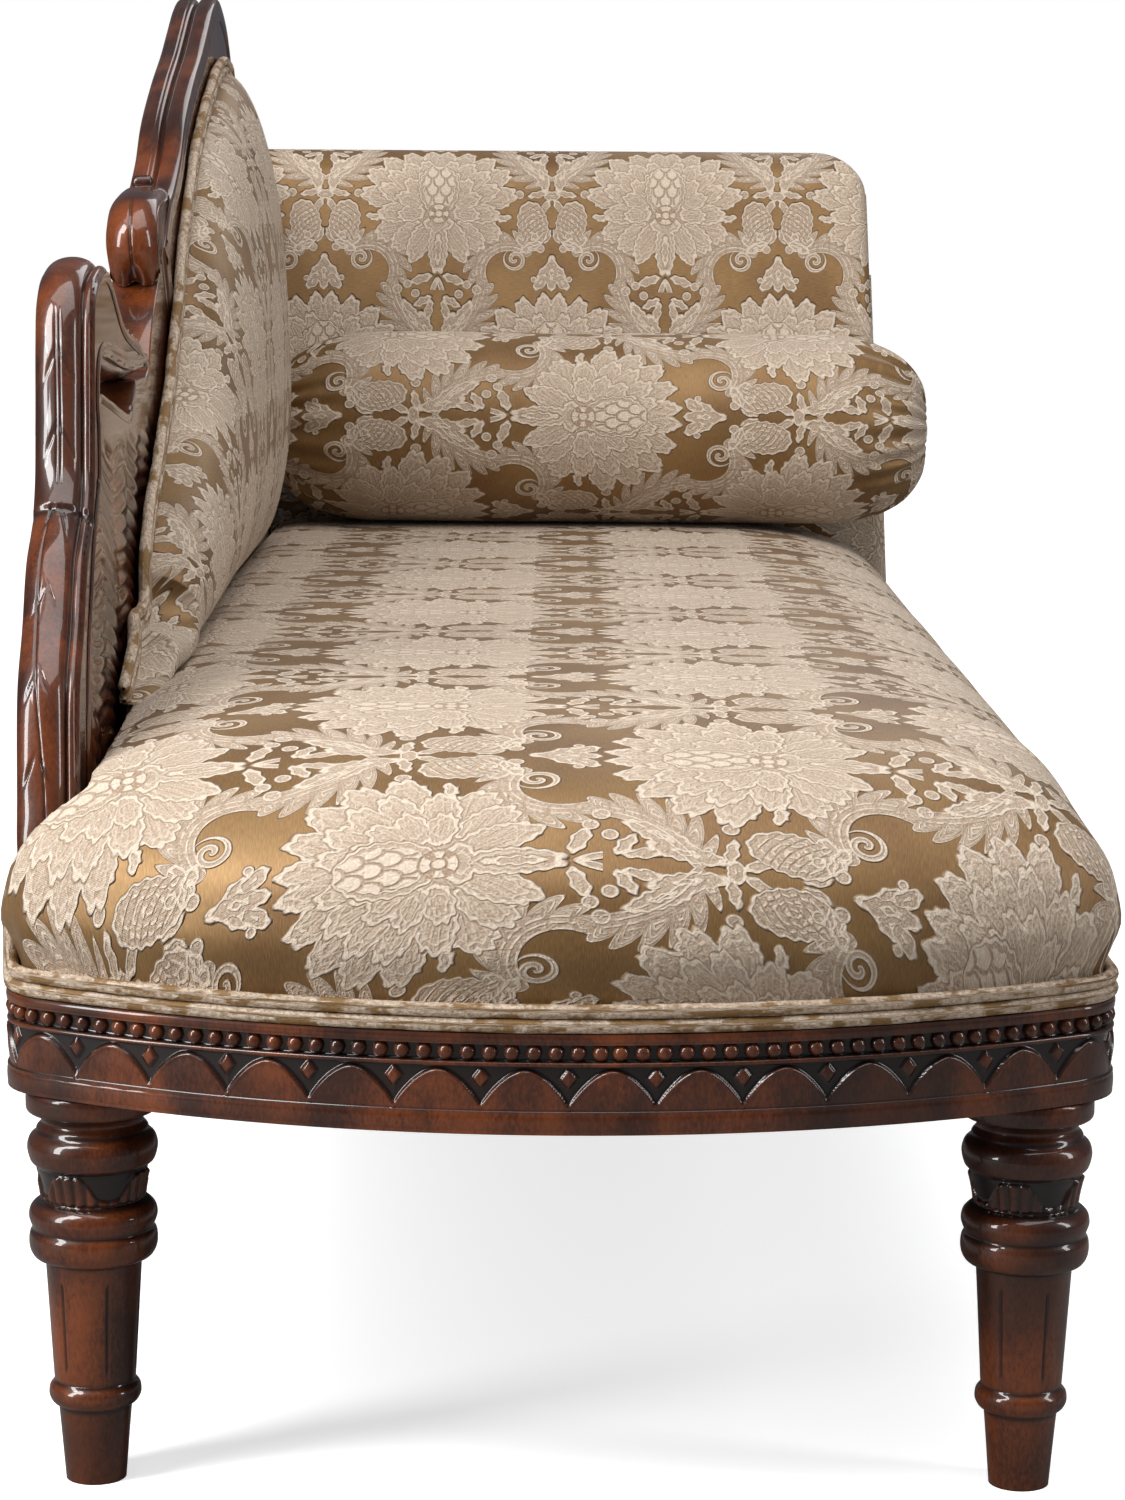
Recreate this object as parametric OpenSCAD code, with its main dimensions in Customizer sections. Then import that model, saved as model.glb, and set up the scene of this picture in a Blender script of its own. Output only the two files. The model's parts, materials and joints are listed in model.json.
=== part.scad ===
// A carved chaise longue with a leaning upholstered back, a rolled headrest and a loose bolster.
// The origin lies on the floor under the middle of the seat. +Y runs from the foot to the head,
// +X points to the open side where the sitter gets on, and +Z is up.

/* [Seat frame] */
// Length from the front of the seat cushion to the back of the headrest's roll
overall_l = 1800; // [1740:1:1900]
// Half of the width over the seat rails
rail_half_w = 323; // [315:1:340]
// Height of the underside of the rails, which is the length of the legs
leg_h = 236; // [200:1:280]
// Height of the seat rails
rail_h = 76; // [70:1:90]
// Thickness of the seat rails
rail_t = 28; // [26:1:32]
// Radius of the bowed foot rail
bow_r = 586; // [540:1:640]
// Radius of the two rounded corners at the foot
corner_r = 48; // [46:1:56]
// How far the roll of the headrest hangs out behind the head rail
roll_overhang = 137; // [125:1:150]

/* [Rail mouldings] */
// Height of the plain fillet along the bottom of the rails
bottom_fillet_h = 13; // [10:0.5:15]
// Height of the band that carries the carved lappets
lappet_band_h = 25; // [22:0.5:28]
// Height of the thin ridge above the lappets
ridge_h = 3; // [2:0.5:4]
// Height of the sunk band that carries the row of beads
bead_band_h = 10; // [8:0.5:12]
// Height of the plain fillet above the beads
top_fillet_h = 6; // [4:0.5:8]
// How far the lappet band lies behind the fillets
lappet_in = 3; // [2:0.5:4]
// How far the ridge lies behind the fillets
ridge_in = 1.5; // [1:0.5:2]
// How far the bead band lies behind the fillets
bead_in = 4.5; // [3:0.5:6]
// How far the tacking strip for the covers lies behind the fillets
tack_in = 9; // [8.5:0.5:11]

/* [Legs] */
// Distance of each leg's centre from the outer face of its side rail
leg_side_in = 50.5; // [48:0.5:55]
// Distance of the foot legs' centres in front of the centres of the rounded corners
leg_foot_ahead = 13.6; // [10:0.2:16]
// Distance of the head legs' centres in front of the head rail's outer face
leg_head_in = 64; // [60:1:70]
// Radius of the ring at the top of a leg
leg_cap_r = 38.5; // [34:0.5:40]
// Radius of the shaft below its rings
leg_shaft_r = 28; // [25:0.5:30]
// Radius of the foot at the floor
leg_foot_r = 17.8; // [15:0.2:20]

/* [Back] */
// Thickness of the carved back frame
back_t = 37; // [32:1:37]
// Distance of the back frame's inner face from the outer face of its rail
back_in = 45; // [44:0.5:47]
// Outward lean of the back, in degrees
back_lean = 2.6; // [2:0.1:3.2]
// Height of the rail along the bottom of the back frame
back_rail_h = 38; // [30:1:44]
// Greatest thickness of the back cushion
back_crown = 50; // [36:1:54]

/* [Headrest] */
// Backward lean of the headrest, in degrees
headrest_lean = 15; // [13:0.5:17]
// Height of the top of the headrest's roll
headrest_top = 798; // [780:1:820]
// Radius of the headrest's roll
roll_r = 62; // [58:1:66]
// Radius of the hollow under the roll
neck_r = 18; // [14:1:22]
// Crown of the headrest's front face
headrest_crown = 6; // [3:0.5:8]
// How far the headrest's side lies inside the rail's outer face at its top
headrest_in = 23; // [17:1:33]
// Radius of the headrest's top corner
headrest_corner_r = 35; // [25:1:45]
// Thickness of the padding on the headrest's front
headrest_pad = 32; // [26:1:36]
// Thickness of each of the headrest's three ribs
rib_t = 25; // [18:1:30]
// Radius of the wooden roller inside the roll
roller_r = 22; // [18:1:24]

/* [Upholstery] */
// Height of the seat cushion's crown above the rails
seat_crown = 132.5; // [110:0.5:140]
// How far the seat cushion swells past the rails
seat_bulge = 2; // [1:0.5:3]
// Thickness of the covers
cloth = 1.8; // [1.4:0.1:2.2]
// Radius of each cord of the double welts
welt_r = 4.1; // [3:0.1:4.2]
// Width of a webbing strap
strap_w = 50; // [40:1:60]
// Thickness of a webbing strap
strap_t = 1.5; // [1:0.1:2]
// Thickness of the sacking over the webbing
hessian_t = 1; // [0.8:0.1:1.2]

/* [Bolster] */
// Radius of the bolster
bolster_r = 91; // [80:1:94]
// How far the bolster's left end lies inside the rail's outer face
bolster_left_in = 49; // [48:1:68]
// How far the bolster's right end stands out past the rail's outer face
bolster_right_out = 17; // [-20:1:20]
// Number of gathered pleats at each end
pleats = 12; // [10:1:14]
// Radius of the covered button at each end
button_r = 12; // [10:1:15]

/* [Fasteners and joints] */
// Radius of the hanger bolts that hold the legs
bolt_r = 4; // [3:0.5:4]
// Radius of the dowels between the rails
dowel_r = 5; // [4:0.5:6]
// Radius of the screws
screw_r = 2.5; // [2:0.25:3]
// Radial clearance of a bolt, dowel or screw in its bore
bore_gap = 0.2; // [0.1:0.05:0.3]
// Gap between soft solids and what they lie against
soft_gap = 0.4; // [0.3:0.1:0.6]

/* [Hidden] */

MAHOGANY = "saddlebrown";
PLAIN_WOOD = "burlywood";
STEEL = "silver";
SACKING = "tan";
FOAM = "lightyellow";
DAMASK = "darkkhaki";

// Heights
rail_top = leg_h + rail_h;
seat_top = rail_top + seat_crown;
fillet_top = leg_h + bottom_fillet_h + lappet_band_h + ridge_h + bead_band_h + top_fillet_h;
roll_z = headrest_top - roll_r;

// The plan of the seat: a bow, two round corners and two straight sides
foot_tip_y = seat_bulge - overall_l / 2;
bow_cy = foot_tip_y + bow_r;
corner_x = rail_half_w - corner_r;
corner_y = bow_cy - sqrt(pow(bow_r - corner_r, 2) - corner_x * corner_x);
corner_turn = acos(corner_x / (bow_r - corner_r));
head_y = overall_l / 2 - roll_overhang;
head_in_y = head_y - rail_t;
leg_x = rail_half_w - leg_side_in;
leg_foot_y = corner_y - leg_foot_ahead;
leg_head_y = head_y - leg_head_in;

// Widths of what stands on the rails
back_x = rail_half_w - back_in;
headrest_half_w = rail_half_w - headrest_in;
bolster_left = rail_half_w - bolster_left_in;
bolster_right = rail_half_w + bolster_right_out;

// The headrest's section: a leaning slab that ends in a roll
roll_y = overall_l / 2 - roll_r;
function front_y(z) = roll_y - roll_r / cos(headrest_lean) + (z - roll_z) * tan(headrest_lean);
function rear_y(z) = head_y - tack_in + cloth + (z - rail_top) * tan(headrest_lean);
rear_d = (rear_y(roll_z) - roll_y) * cos(headrest_lean);
neck_turn = acos((rear_d + neck_r) / (roll_r + neck_r));
side_slope = (rail_half_w - tack_in + cloth - headrest_half_w) / (headrest_top - rail_top);

// The back's outlines were drawn for legs this far apart, and stretch with the frame
drawn_leg_span = 1481;
function along(s) = leg_foot_y - 2 + s * (leg_head_y - leg_foot_y) / drawn_leg_span;
function on_frame(points) = [for (p = points) [along(p.x), rail_top + p.y]];

// Points of an arc, without its first point
function arc(cx, cy, r, a0, a1, n) =
    [for (i = [1:n]) [cx + r * cos(a0 + (a1 - a0) * i / n), cy + r * sin(a0 + (a1 - a0) * i / n)]];

// A smooth curve through points, with n steps between two of them
function curve_point(a, b, c, d, t) =
    0.5 * (2 * b + (c - a) * t + (2 * a - 5 * b + 4 * c - d) * t * t
    + (3 * b - a - 3 * c + d) * t * t * t);
function smooth(p, n = 3) = concat(
    [for (i = [0:len(p) - 2], j = [0:n - 1])
        curve_point(p[max(i - 1, 0)], p[i], p[i + 1], p[min(i + 2, len(p) - 1)], j / n)],
    [p[len(p) - 1]]);
function reversed(p) = [for (i = [len(p) - 1:-1:0]) p[i]];
function unit(v) = v / norm(v);

// The seat's plan, moved inwards by d, with straight sides that end at y_end
function foot_arcs(d, n_bow, n_corner) = concat(
    [[-rail_half_w + d, corner_y]],
    arc(-corner_x, corner_y, corner_r - d, 180, 180 + corner_turn, n_corner),
    arc(0, bow_cy, bow_r - d, 180 + corner_turn, 360 - corner_turn, n_bow),
    arc(corner_x, corner_y, corner_r - d, 360 - corner_turn, 360, n_corner));
function plan(d, y_end, n_bow = 32, n_corner = 8) = concat(
    [[-rail_half_w + d, y_end]], foot_arcs(d, n_bow, n_corner), [[rail_half_w - d, y_end]]);

// The mouldings: height and inset of each band, from the bottom up
bands = [[bottom_fillet_h, 0], [lappet_band_h, lappet_in], [ridge_h, ridge_in],
    [bead_band_h, bead_in], [top_fillet_h, 0]];
function band_z(i) = i == 0 ? leg_h : band_z(i - 1) + bands[i - 1][0];

// Rails

module bow_band(z, h, d)
    translate([0, 0, z])
        linear_extrude(h)
            polygon(concat(foot_arcs(d, 32, 8), reversed(foot_arcs(rail_t, 32, 8))));

module side_band(z, h, d)
    translate([rail_half_w - rail_t, corner_y, z])
        cube([rail_t - d, head_in_y - corner_y, h]);

module head_band(z, h, d)
    translate([-rail_half_w + d, head_in_y, z])
        cube([2 * (rail_half_w - d), rail_t - d, h]);

module dowels(gap)
    for (side = [-1, 1], z = [leg_h + 22, rail_top - 18]) {
        translate([side * (rail_half_w - rail_t / 2 - tack_in / 2), corner_y - 20, z])
            rotate([-90, 0, 0])
                cylinder(r = dowel_r + gap, h = 40 + gap, $fn = 32);
        translate([side * (rail_half_w - rail_t / 2 - tack_in / 2), head_in_y - 30, z])
            rotate([-90, 0, 0])
                cylinder(r = dowel_r + gap, h = 46 + gap, $fn = 32);
    }

module rail_dowels() color(PLAIN_WOOD) dowels(0);

module foot_rail()
    color(MAHOGANY) difference() {
        union() {
            for (i = [0:len(bands) - 1]) bow_band(band_z(i), bands[i][0], bands[i][1]);
            bow_band(fillet_top, rail_top - fillet_top, tack_in);
        }
        dowels(bore_gap);
    }

module side_rail(top_in)
    difference() {
        union() {
            for (i = [0:len(bands) - 1]) side_band(band_z(i), bands[i][0], bands[i][1]);
            side_band(fillet_top, rail_top - fillet_top, top_in);
        }
        dowels(bore_gap);
        block_screws(bore_gap);
        for (y = brace_ys) brace_screw(y, bore_gap);
    }

module sitter_side_rail() color(MAHOGANY) side_rail(tack_in);

module back_side_rail()
    color(MAHOGANY) difference() {
        mirror([1, 0, 0]) side_rail(rail_half_w - back_x - back_t);
        back_screws(bore_gap);
    }

module head_rail()
    color(MAHOGANY) difference() {
        union() {
            for (i = [0:len(bands) - 1]) head_band(band_z(i), bands[i][0], bands[i][1]);
            head_band(fillet_top, rail_top - fillet_top, tack_in);
        }
        dowels(bore_gap);
        headrest_screw_set(bore_gap);
    }

// Corner blocks, braces and bearers
block_top = rail_top - 12;
block_w = 76;
block_foot_y1 = corner_y + 44;
brace_ys = [along(480), along(960)];
brace_w = 32;
brace_h = 42;

module hanger_bolts(gap)
    for (side = [-1, 1], y = [leg_foot_y, leg_head_y])
        translate([side * leg_x, y, leg_h - 58 - gap])
            cylinder(r = bolt_r + gap, h = block_top + 10 + 58 - leg_h + 2 * gap, $fn = 32);

module block_screws(gap)
    for (side = [-1, 1], z = [leg_h + 34, leg_h + 46]) {
        translate([side * (rail_half_w - rail_t - 40), block_foot_y1 - 16, z])
            rotate([0, side * 90, 0])
                cylinder(r = screw_r + gap, h = 55 + gap, $fn = 32);
        translate([side * (rail_half_w - rail_t - 40), head_in_y - 14, z])
            rotate([0, side * 90, 0])
                cylinder(r = screw_r + gap, h = 55 + gap, $fn = 32);
    }

module corner_blocks()
    color(PLAIN_WOOD) difference() {
        union() {
            intersection() {
                translate([0, 0, leg_h])
                    linear_extrude(block_top - leg_h)
                        polygon(foot_arcs(rail_t, 32, 8));
                for (side = [-1, 1])
                    translate([side * (rail_half_w - rail_t - block_w / 2) - block_w / 2,
                        leg_foot_y - 60, leg_h])
                        cube([block_w, corner_y - leg_foot_y + 60, block_top]);
            }
            for (side = [-1, 1]) {
                translate([side * (rail_half_w - rail_t - block_w / 2) - block_w / 2,
                    corner_y, leg_h])
                    cube([block_w, block_foot_y1 - corner_y, block_top - leg_h]);
                translate([side * (rail_half_w - rail_t - block_w / 2) - block_w / 2,
                    leg_head_y - 45, leg_h])
                    cube([block_w, head_in_y - leg_head_y + 45, block_top - leg_h]);
            }
        }
        hanger_bolts(bore_gap);
        block_screws(bore_gap);
        bearer_bar();
    }

module corner_block_screws() color(STEEL) block_screws(0);

module leg_hanger_bolts() color(STEEL) hanger_bolts(0);

module leg_bolt_nuts()
    color(STEEL)
        for (side = [-1, 1], y = [leg_foot_y, leg_head_y])
            translate([side * leg_x, y, block_top])
                difference() {
                    union() {
                        cylinder(r = 2.2 * bolt_r, h = 1.6, $fn = 48);
                        cylinder(r = 1.8 * bolt_r, h = 8, $fn = 6);
                    }
                    translate([0, 0, -1])
                        cylinder(r = bolt_r + bore_gap, h = 12, $fn = 32);
                }

module brace_screw(y, gap)
    for (z = [leg_h + 22, leg_h + 38])
        translate([rail_half_w - rail_t - 30, y, z])
            rotate([0, 90, 0])
                cylinder(r = screw_r + gap, h = 48 + gap, $fn = 32);

module seat_cross_braces()
    color(PLAIN_WOOD)
        for (y = brace_ys)
            difference() {
                translate([-rail_half_w + rail_t, y - brace_w / 2, leg_h + 9])
                    cube([2 * (rail_half_w - rail_t), brace_w, brace_h]);
                brace_screw(y, bore_gap);
                mirror([1, 0, 0]) brace_screw(y, bore_gap);
            }

// The bearer carries the head ends of the long straps and the feet of the ribs
bearer_y0 = front_y(rail_top) - 14;
bearer_w = 38;
bearer_h = 34;
module bearer_bar()
    translate([-rail_half_w + rail_t, bearer_y0, rail_top - bearer_h])
        cube([2 * (rail_half_w - rail_t), bearer_w, bearer_h]);

module seat_head_bearer() color(PLAIN_WOOD) bearer_bar();

// The batten carries the webbing where the back frame stands on the rail
batten_w = 42;
batten_h = 24;
module back_seat_batten()
    color(PLAIN_WOOD)
        translate([-rail_half_w + rail_t, block_foot_y1, rail_top - batten_h])
            cube([batten_w, bearer_y0 - block_foot_y1, batten_h]);

// Legs
// Height down from the rail and radius of each turning, from the top
module leg_shape() {
    cup_r = leg_cap_r - 7.5;
    ring_r = leg_cap_r - 1;
    foot_top_r = leg_shaft_r - 6.5;
    rotate_extrude($fn = 96)
        polygon(concat(
            [[0, 0], [leg_foot_r - 2, 0], [leg_foot_r, 2], [foot_top_r, 43]],
            arc(foot_top_r - 0.5, 49, 6, -90, 90, 8),
            [[leg_shaft_r - 4.6, 58], [leg_shaft_r - 4, 62], [leg_shaft_r, leg_h - 104],
                [leg_shaft_r + 3, leg_h - 100.5]],
            arc(ring_r - 7.5, leg_h - 90.5, 7.5, -75, 80, 8),
            [[ring_r - 3, leg_h - 82]],
            arc(ring_r - 7.5, leg_h - 75.5, 7.5, -60, 75, 8),
            [[cup_r - 1, leg_h - 66.5], [cup_r, leg_h - 60], [cup_r + 2.5, leg_h - 47],
                [ring_r - 4.5, leg_h - 45]],
            arc(ring_r - 9.5, leg_h - 35.5, 9.5, -70, 80, 8),
            [[ring_r - 4.6, leg_h - 25.2], [ring_r - 8, leg_h - 22], [ring_r - 7, leg_h - 18],
                [leg_cap_r - 4, leg_h - 14.4]],
            arc(leg_cap_r - 3.5, leg_h - 10.5, 3.5, -80, 0, 5),
            arc(leg_cap_r - 3.5, leg_h - 3.5, 3.5, 0, 90, 5),
            [[0, leg_h]]));
}

module leg(side, y)
    color(MAHOGANY) difference() {
        translate([side * leg_x, y, 0]) leg_shape();
        hanger_bolts(bore_gap);
    }

module leg_foot_left() leg(-1, leg_foot_y);
module leg_foot_right() leg(1, leg_foot_y);
module leg_head_left() leg(-1, leg_head_y);
module leg_head_right() leg(1, leg_head_y);

// Webbing and sacking of the seat
cross_straps = 11;
long_straps = 5;
cross_y0 = corner_y + 60;
cross_y1 = bearer_y0 - 40;

module seat_webbing_cross()
    color(SACKING)
        for (i = [0:cross_straps - 1])
            translate([1 - back_x, cross_y0 + (cross_y1 - cross_y0) * i / (cross_straps - 1)
                - strap_w / 2, rail_top])
                cube([back_x - 1 + rail_half_w - tack_in - 2, strap_w, strap_t]);

module long_strap(x) {
    foot_y = bow_cy - sqrt(pow(bow_r - tack_in - 3, 2) - pow(abs(x) + strap_w / 2, 2));
    inner_y = bow_cy - sqrt(pow(bow_r - rail_t, 2) - pow(max(abs(x) - strap_w / 2, 0), 2));
    translate([x - strap_w / 2, foot_y, rail_top + strap_t])
        cube([strap_w, bearer_y0 + 10 - foot_y, strap_t]);
    translate([x - strap_w / 2, foot_y, rail_top])
        cube([strap_w, inner_y + 12 - foot_y, strap_t]);
    translate([x - strap_w / 2, bearer_y0 - 10, rail_top])
        cube([strap_w, 20, strap_t]);
}

module seat_webbing_long()
    color(SACKING)
        for (i = [0:long_straps - 1])
            long_strap((i - (long_straps - 1) / 2) * 108);

hessian_z = rail_top + 2 * strap_t;
foam_z = hessian_z + hessian_t;

// The cut-out beside the scroll post, and the wall along the back frame
seat_left = back_x - 2;
notch_y = along(-4.6);
notch_r = 20;
module seat_prism(off, z0 = 0)
    translate([0, 0, z0])
        linear_extrude(1000)
            polygon(concat(
                [[500, -overall_l], [500, overall_l], [off - seat_left, overall_l],
                    [off - seat_left, notch_y + notch_r]],
                arc(-seat_left - notch_r, notch_y + notch_r, notch_r + off, 0, -90, 5),
                [[-500, notch_y - off], [-500, -overall_l]]));

// Everything in front of the headrest's leaning face
module ahead_of_headrest(gap)
    translate([-500, front_y(0) - gap, 0])
        rotate([-headrest_lean, 0, 0])
            translate([0, -2 * overall_l, -500])
                cube([1000, 2 * overall_l, 2000]);

module seat_hessian()
    color(SACKING)
        intersection() {
            translate([0, 0, hessian_z])
                linear_extrude(hessian_t)
                    polygon(plan(tack_in + 4, bearer_y0 + 10, 16, 4));
            seat_prism(3);
        }

// The crowned seat. Each row: share of the crown's height, inset that follows the plan,
// inset towards the middle line, and the tilt of the surface there
seat_rows = [[-0.12, tack_in - 0.5 - cloth, 0, 0], [-0.013, tack_in - 0.5 - cloth, 0, 0],
    [0.03, 4.5, 0, 0],
    [0.166, -seat_bulge, 0, 0], [0.302, 0, 0, 10], [0.438, 3, 3, 25], [0.566, 8, 11, 40],
    [0.694, 8, 32, 53], [0.8, 8, 59, 65], [0.89, 8, 104, 76], [0.966, 8, 177, 83],
    [1, 8, 254, 88]];
side_stops = [1.9, 700 / 1481, 450 / 1481, 230 / 1481, 100 / 1481];
seat_end_y = bearer_y0 + bearer_w + 80;
spine_y = foot_tip_y + 400;
function side_y(t) = t > 1 ? seat_end_y : leg_foot_y + t * (leg_head_y - leg_foot_y);
function seat_plan(d) = concat(
    [for (t = side_stops) [-rail_half_w + d, side_y(t)]],
    foot_arcs(d, 16, 4),
    [for (t = reversed(side_stops)) [rail_half_w - d, side_y(t)]]);
// The crown is fuller along the open side, and tighter still along the back, where the
// cushion is tucked in
function tuck(p) = lookup(p.y, p.x > 0 ? [[corner_y, 1], [along(120), 0.6]]
    : [[corner_y, 1], [along(200), 0.5], [along(450), 0.25]]);
function seat_ring(row, skin) =
    let (base = seat_plan(row[1] + skin * cos(row[3])))
    [for (p = base)
        let (towards = unit([0, max(p.y, spine_y)] - p),
            q = p + towards * row[2] * (p.y > corner_y ? tuck(p) : 1))
        [q.x, q.y, rail_top + row[0] * seat_crown - skin * sin(row[3])]];

// A closed solid from rings of the same number of points, closed by fans at its two ends
function ring_walls(n, rows) = [for (k = [0:rows - 2], i = [0:n - 1])
    each [[k * n + i, (k + 1) * n + (i + 1) % n, k * n + (i + 1) % n],
        [k * n + i, (k + 1) * n + i, (k + 1) * n + (i + 1) % n]]];
module ring_solid(rings, low_centre, high_centre) {
    n = len(rings[0]);
    rows = len(rings);
    m = n * rows;
    polyhedron(concat([for (r = rings) each r], [low_centre, high_centre]), concat(
        [for (i = [0:n - 1]) [m, i, (i + 1) % n]],
        ring_walls(n, rows),
        [for (i = [0:n - 1]) [m + 1, m - n + (i + 1) % n, m - n + i]]), convexity = 6);
}

module seat_form(skin) {
    rings = [for (row = seat_rows) seat_ring(row, skin)];
    ring_solid(rings, [0, 0, rings[0][0].z], [-95, spine_y + 200, rings[len(rings) - 1][0].z]);
}

module seat_cover()
    color(DAMASK) difference() {
        intersection() {
            seat_form(0);
            seat_prism(0);
            ahead_of_headrest(headrest_crown + soft_gap);
        }
        intersection() {
            union() {
                seat_form(cloth);
                translate([0, 0, rail_top - 40])
                    linear_extrude(44)
                        polygon(seat_plan(tack_in - 0.5));
            }
            seat_prism(cloth);
            ahead_of_headrest(headrest_crown + soft_gap + cloth);
        }
        translate([0, 0, rail_top - 40])
            linear_extrude(foam_z - rail_top + 40)
                polygon(seat_plan(tack_in - 0.5));
    }

module seat_foam()
    color(FOAM) intersection() {
        seat_form(cloth);
        seat_prism(cloth, foam_z);
        ahead_of_headrest(headrest_crown + soft_gap + cloth);
    }

// Double welt round the rails: its two cords lie above each other, and turn up at the post
welt_in = tack_in - cloth - 0.5 - welt_r - 0.3;
welt_zs = [fillet_top + welt_r + 0.2, fillet_top + 3 * welt_r + 0.3];
welt_turns = [190, 200];
welt_rise = 50;
bend = 6;

// A point of the plan at distance r from a centre, with the outward direction there
function plan_point(cx, cy, r, a, z) =
    let (out = [cos(a), sin(a), 0]) [[cx, cy, z] + r * out, out];
function welt_line(z, turn) =
    let (r = corner_r - welt_in, low = 180 + corner_turn, high = 360 - corner_turn,
        right = rail_half_w - welt_in)
    concat(
        [plan_point(-corner_x, corner_y, r, turn, z + welt_rise),
            plan_point(-corner_x, corner_y, r, turn, z + bend),
            plan_point(-corner_x, corner_y, r, turn + bend / 2, z + bend / 5)],
        [for (i = [0:4]) plan_point(-corner_x, corner_y, r,
            turn + bend + 2 + (low - turn - bend - 2) * i / 4, z)],
        [for (i = [1:16]) plan_point(0, bow_cy, bow_r - welt_in, low + (high - low) * i / 16, z)],
        [for (i = [1:4]) plan_point(corner_x, corner_y, r, high + (360 - high) * i / 4, z)],
        [[[right, head_y - tack_in, z], [1, 0, 0]]]);

// A round tube along a line of points and the directions that lie square to it
module tube(line, r, sides) {
    n = len(line);
    ring_solid([for (i = [0:n - 1])
        let (v = unit(line[min(i + 1, n - 1)][0] - line[max(i - 1, 0)][0]),
            out = line[i][1], up = unit(cross(v, out)))
        [for (j = [0:sides - 1])
            let (a = 360 * (j + 0.5) / sides)
            line[i][0] + r * cos(a) * out + r * sin(a) * up]],
        line[0][0], line[n - 1][0]);
}

module seat_welt()
    color(DAMASK)
        for (i = [0, 1]) tube(welt_line(welt_zs[i], welt_turns[i]), welt_r, 8);

module dust_cover()
    color("dimgray") difference() {
        translate([0, 0, leg_h - 1.2])
            linear_extrude(1.2)
                polygon(plan(18, head_y - 18, 16, 4));
        for (side = [-1, 1], y = [leg_foot_y, leg_head_y])
            translate([side * leg_x, y, leg_h - 5])
                cylinder(r = leg_cap_r + 2, h = 10, $fn = 96);
    }

// Back frame
// Outlines are given as distance behind the foot legs and height above the rail
module on_back()
    translate([-back_x, 0, rail_top])
        rotate([0, -back_lean, 0])
            translate([0, 0, -rail_top])
                children();

module back_slab(x0, t)
    intersection() {
        on_back()
            translate([x0, 0, 0])
                rotate([90, 0, 90])
                    linear_extrude(t)
                        children();
        translate([-500, -overall_l, rail_top])
            cube([500, 2 * overall_l, 1000]);
    }

post_front = [[16, 0], [16, 60], [28, 93], [53, 152], [88, 188], [120, 224], [165, 254],
    [190, 301], [210, 349], [228, 378], [262, 394], [320, 397], [388, 362], [469, 346],
    [514, 331], [519, 320], [512, 312]];
post_rear = [[240, 306], [240, 288], [225, 254], [190, 224], [158, 188], [128, 152],
    [100, 93], [88, 60], [85, 0]];
hook_under = [[450, 312], [395, 316], [300, 327], [256, 324], [240, 306]];
web_top = [[512, 312], [530, 318], [548, 334], [580, 356], [612, 372]];
web_under_hook = [[450, 312], [425, 298], [400, 292], [300, 307], [254, 313], [240, 306]];
web_inner = [[360, 110], [400, 160], [450, 186], [505, 208], [556, 233], [612, 259],
    [645, 280], [700, 318]];
crest_outer = [[716, 436], [750, 446], [810, 471], [862, 501], [950, 534], [1030, 559],
    [1088, 580], [1150, 602], [1205, 613], [1252, 603], [1287, 584], [1307, 554],
    [1325, 520], [1370, 488], [1430, 472], [1500, 466]];
crest_inner = [[700, 318], [745, 350], [808, 388], [880, 424], [966, 461], [1055, 489],
    [1100, 501], [1140, 509], [1180, 512], [1200, 506], [1212, 492], [1225, 468],
    [1255, 430], [1310, 400], [1385, 384], [1500, 378]];
leaf = [[612, 372], [600, 388], [596, 408], [604, 430], [626, 446], [664, 454], [706, 458],
    [718, 450]];
web_crest_top = [660, 401.5];
stile_foot = [1409, 1505];
crest_end = 1500;
crest_end_top = 466;
stile_head_s = 1560;
lean_k = tan(headrest_lean);

module scroll_post()
    color(MAHOGANY) back_slab(-back_t, back_t)
        polygon(on_frame(concat(smooth(post_front), smooth(hook_under), smooth(post_rear))));

module scroll_web()
    color(MAHOGANY) difference() {
        back_slab(-back_t, back_t)
            polygon(on_frame(concat([[85, 0], [360, 0]], smooth(web_inner), [web_crest_top],
                reversed(smooth(web_top)), smooth(web_under_hook), smooth(post_rear))));
        back_screws(bore_gap);
    }

module leaf_volute()
    color(MAHOGANY) back_slab(-back_t - 1, back_t + 2)
        polygon(on_frame(concat(smooth(leaf), [[716, 436]])));

module crest_rail()
    color(MAHOGANY) back_slab(-back_t, back_t)
        polygon(on_frame(concat([web_crest_top], smooth(crest_outer),
            reversed(smooth(crest_inner)))));

module head_stile()
    color(MAHOGANY) difference() {
        back_slab(-back_t, back_t) {
            polygon(concat(
                on_frame([[stile_foot[0], 0], [stile_foot[1], 0]]),
                [[roll_y - 8, roll_z], [roll_y - 6, roll_z + 46]],
                on_frame([[stile_head_s, crest_end_top + 5], [crest_end, crest_end_top],
                    [crest_end, (crest_end - stile_foot[0]) / lean_k]])));
            translate([roll_y, roll_z])
                circle(r = roll_r - 12, $fn = 96);
        }
        back_screws(bore_gap);
    }

module back_bottom_rail()
    color(PLAIN_WOOD) difference() {
        back_slab(-back_t, back_t)
            polygon(on_frame([[360, 0], [stile_foot[0], 0],
                [stile_foot[0] + back_rail_h * lean_k, back_rail_h], [360, back_rail_h]]));
        back_screws(bore_gap);
    }

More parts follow.
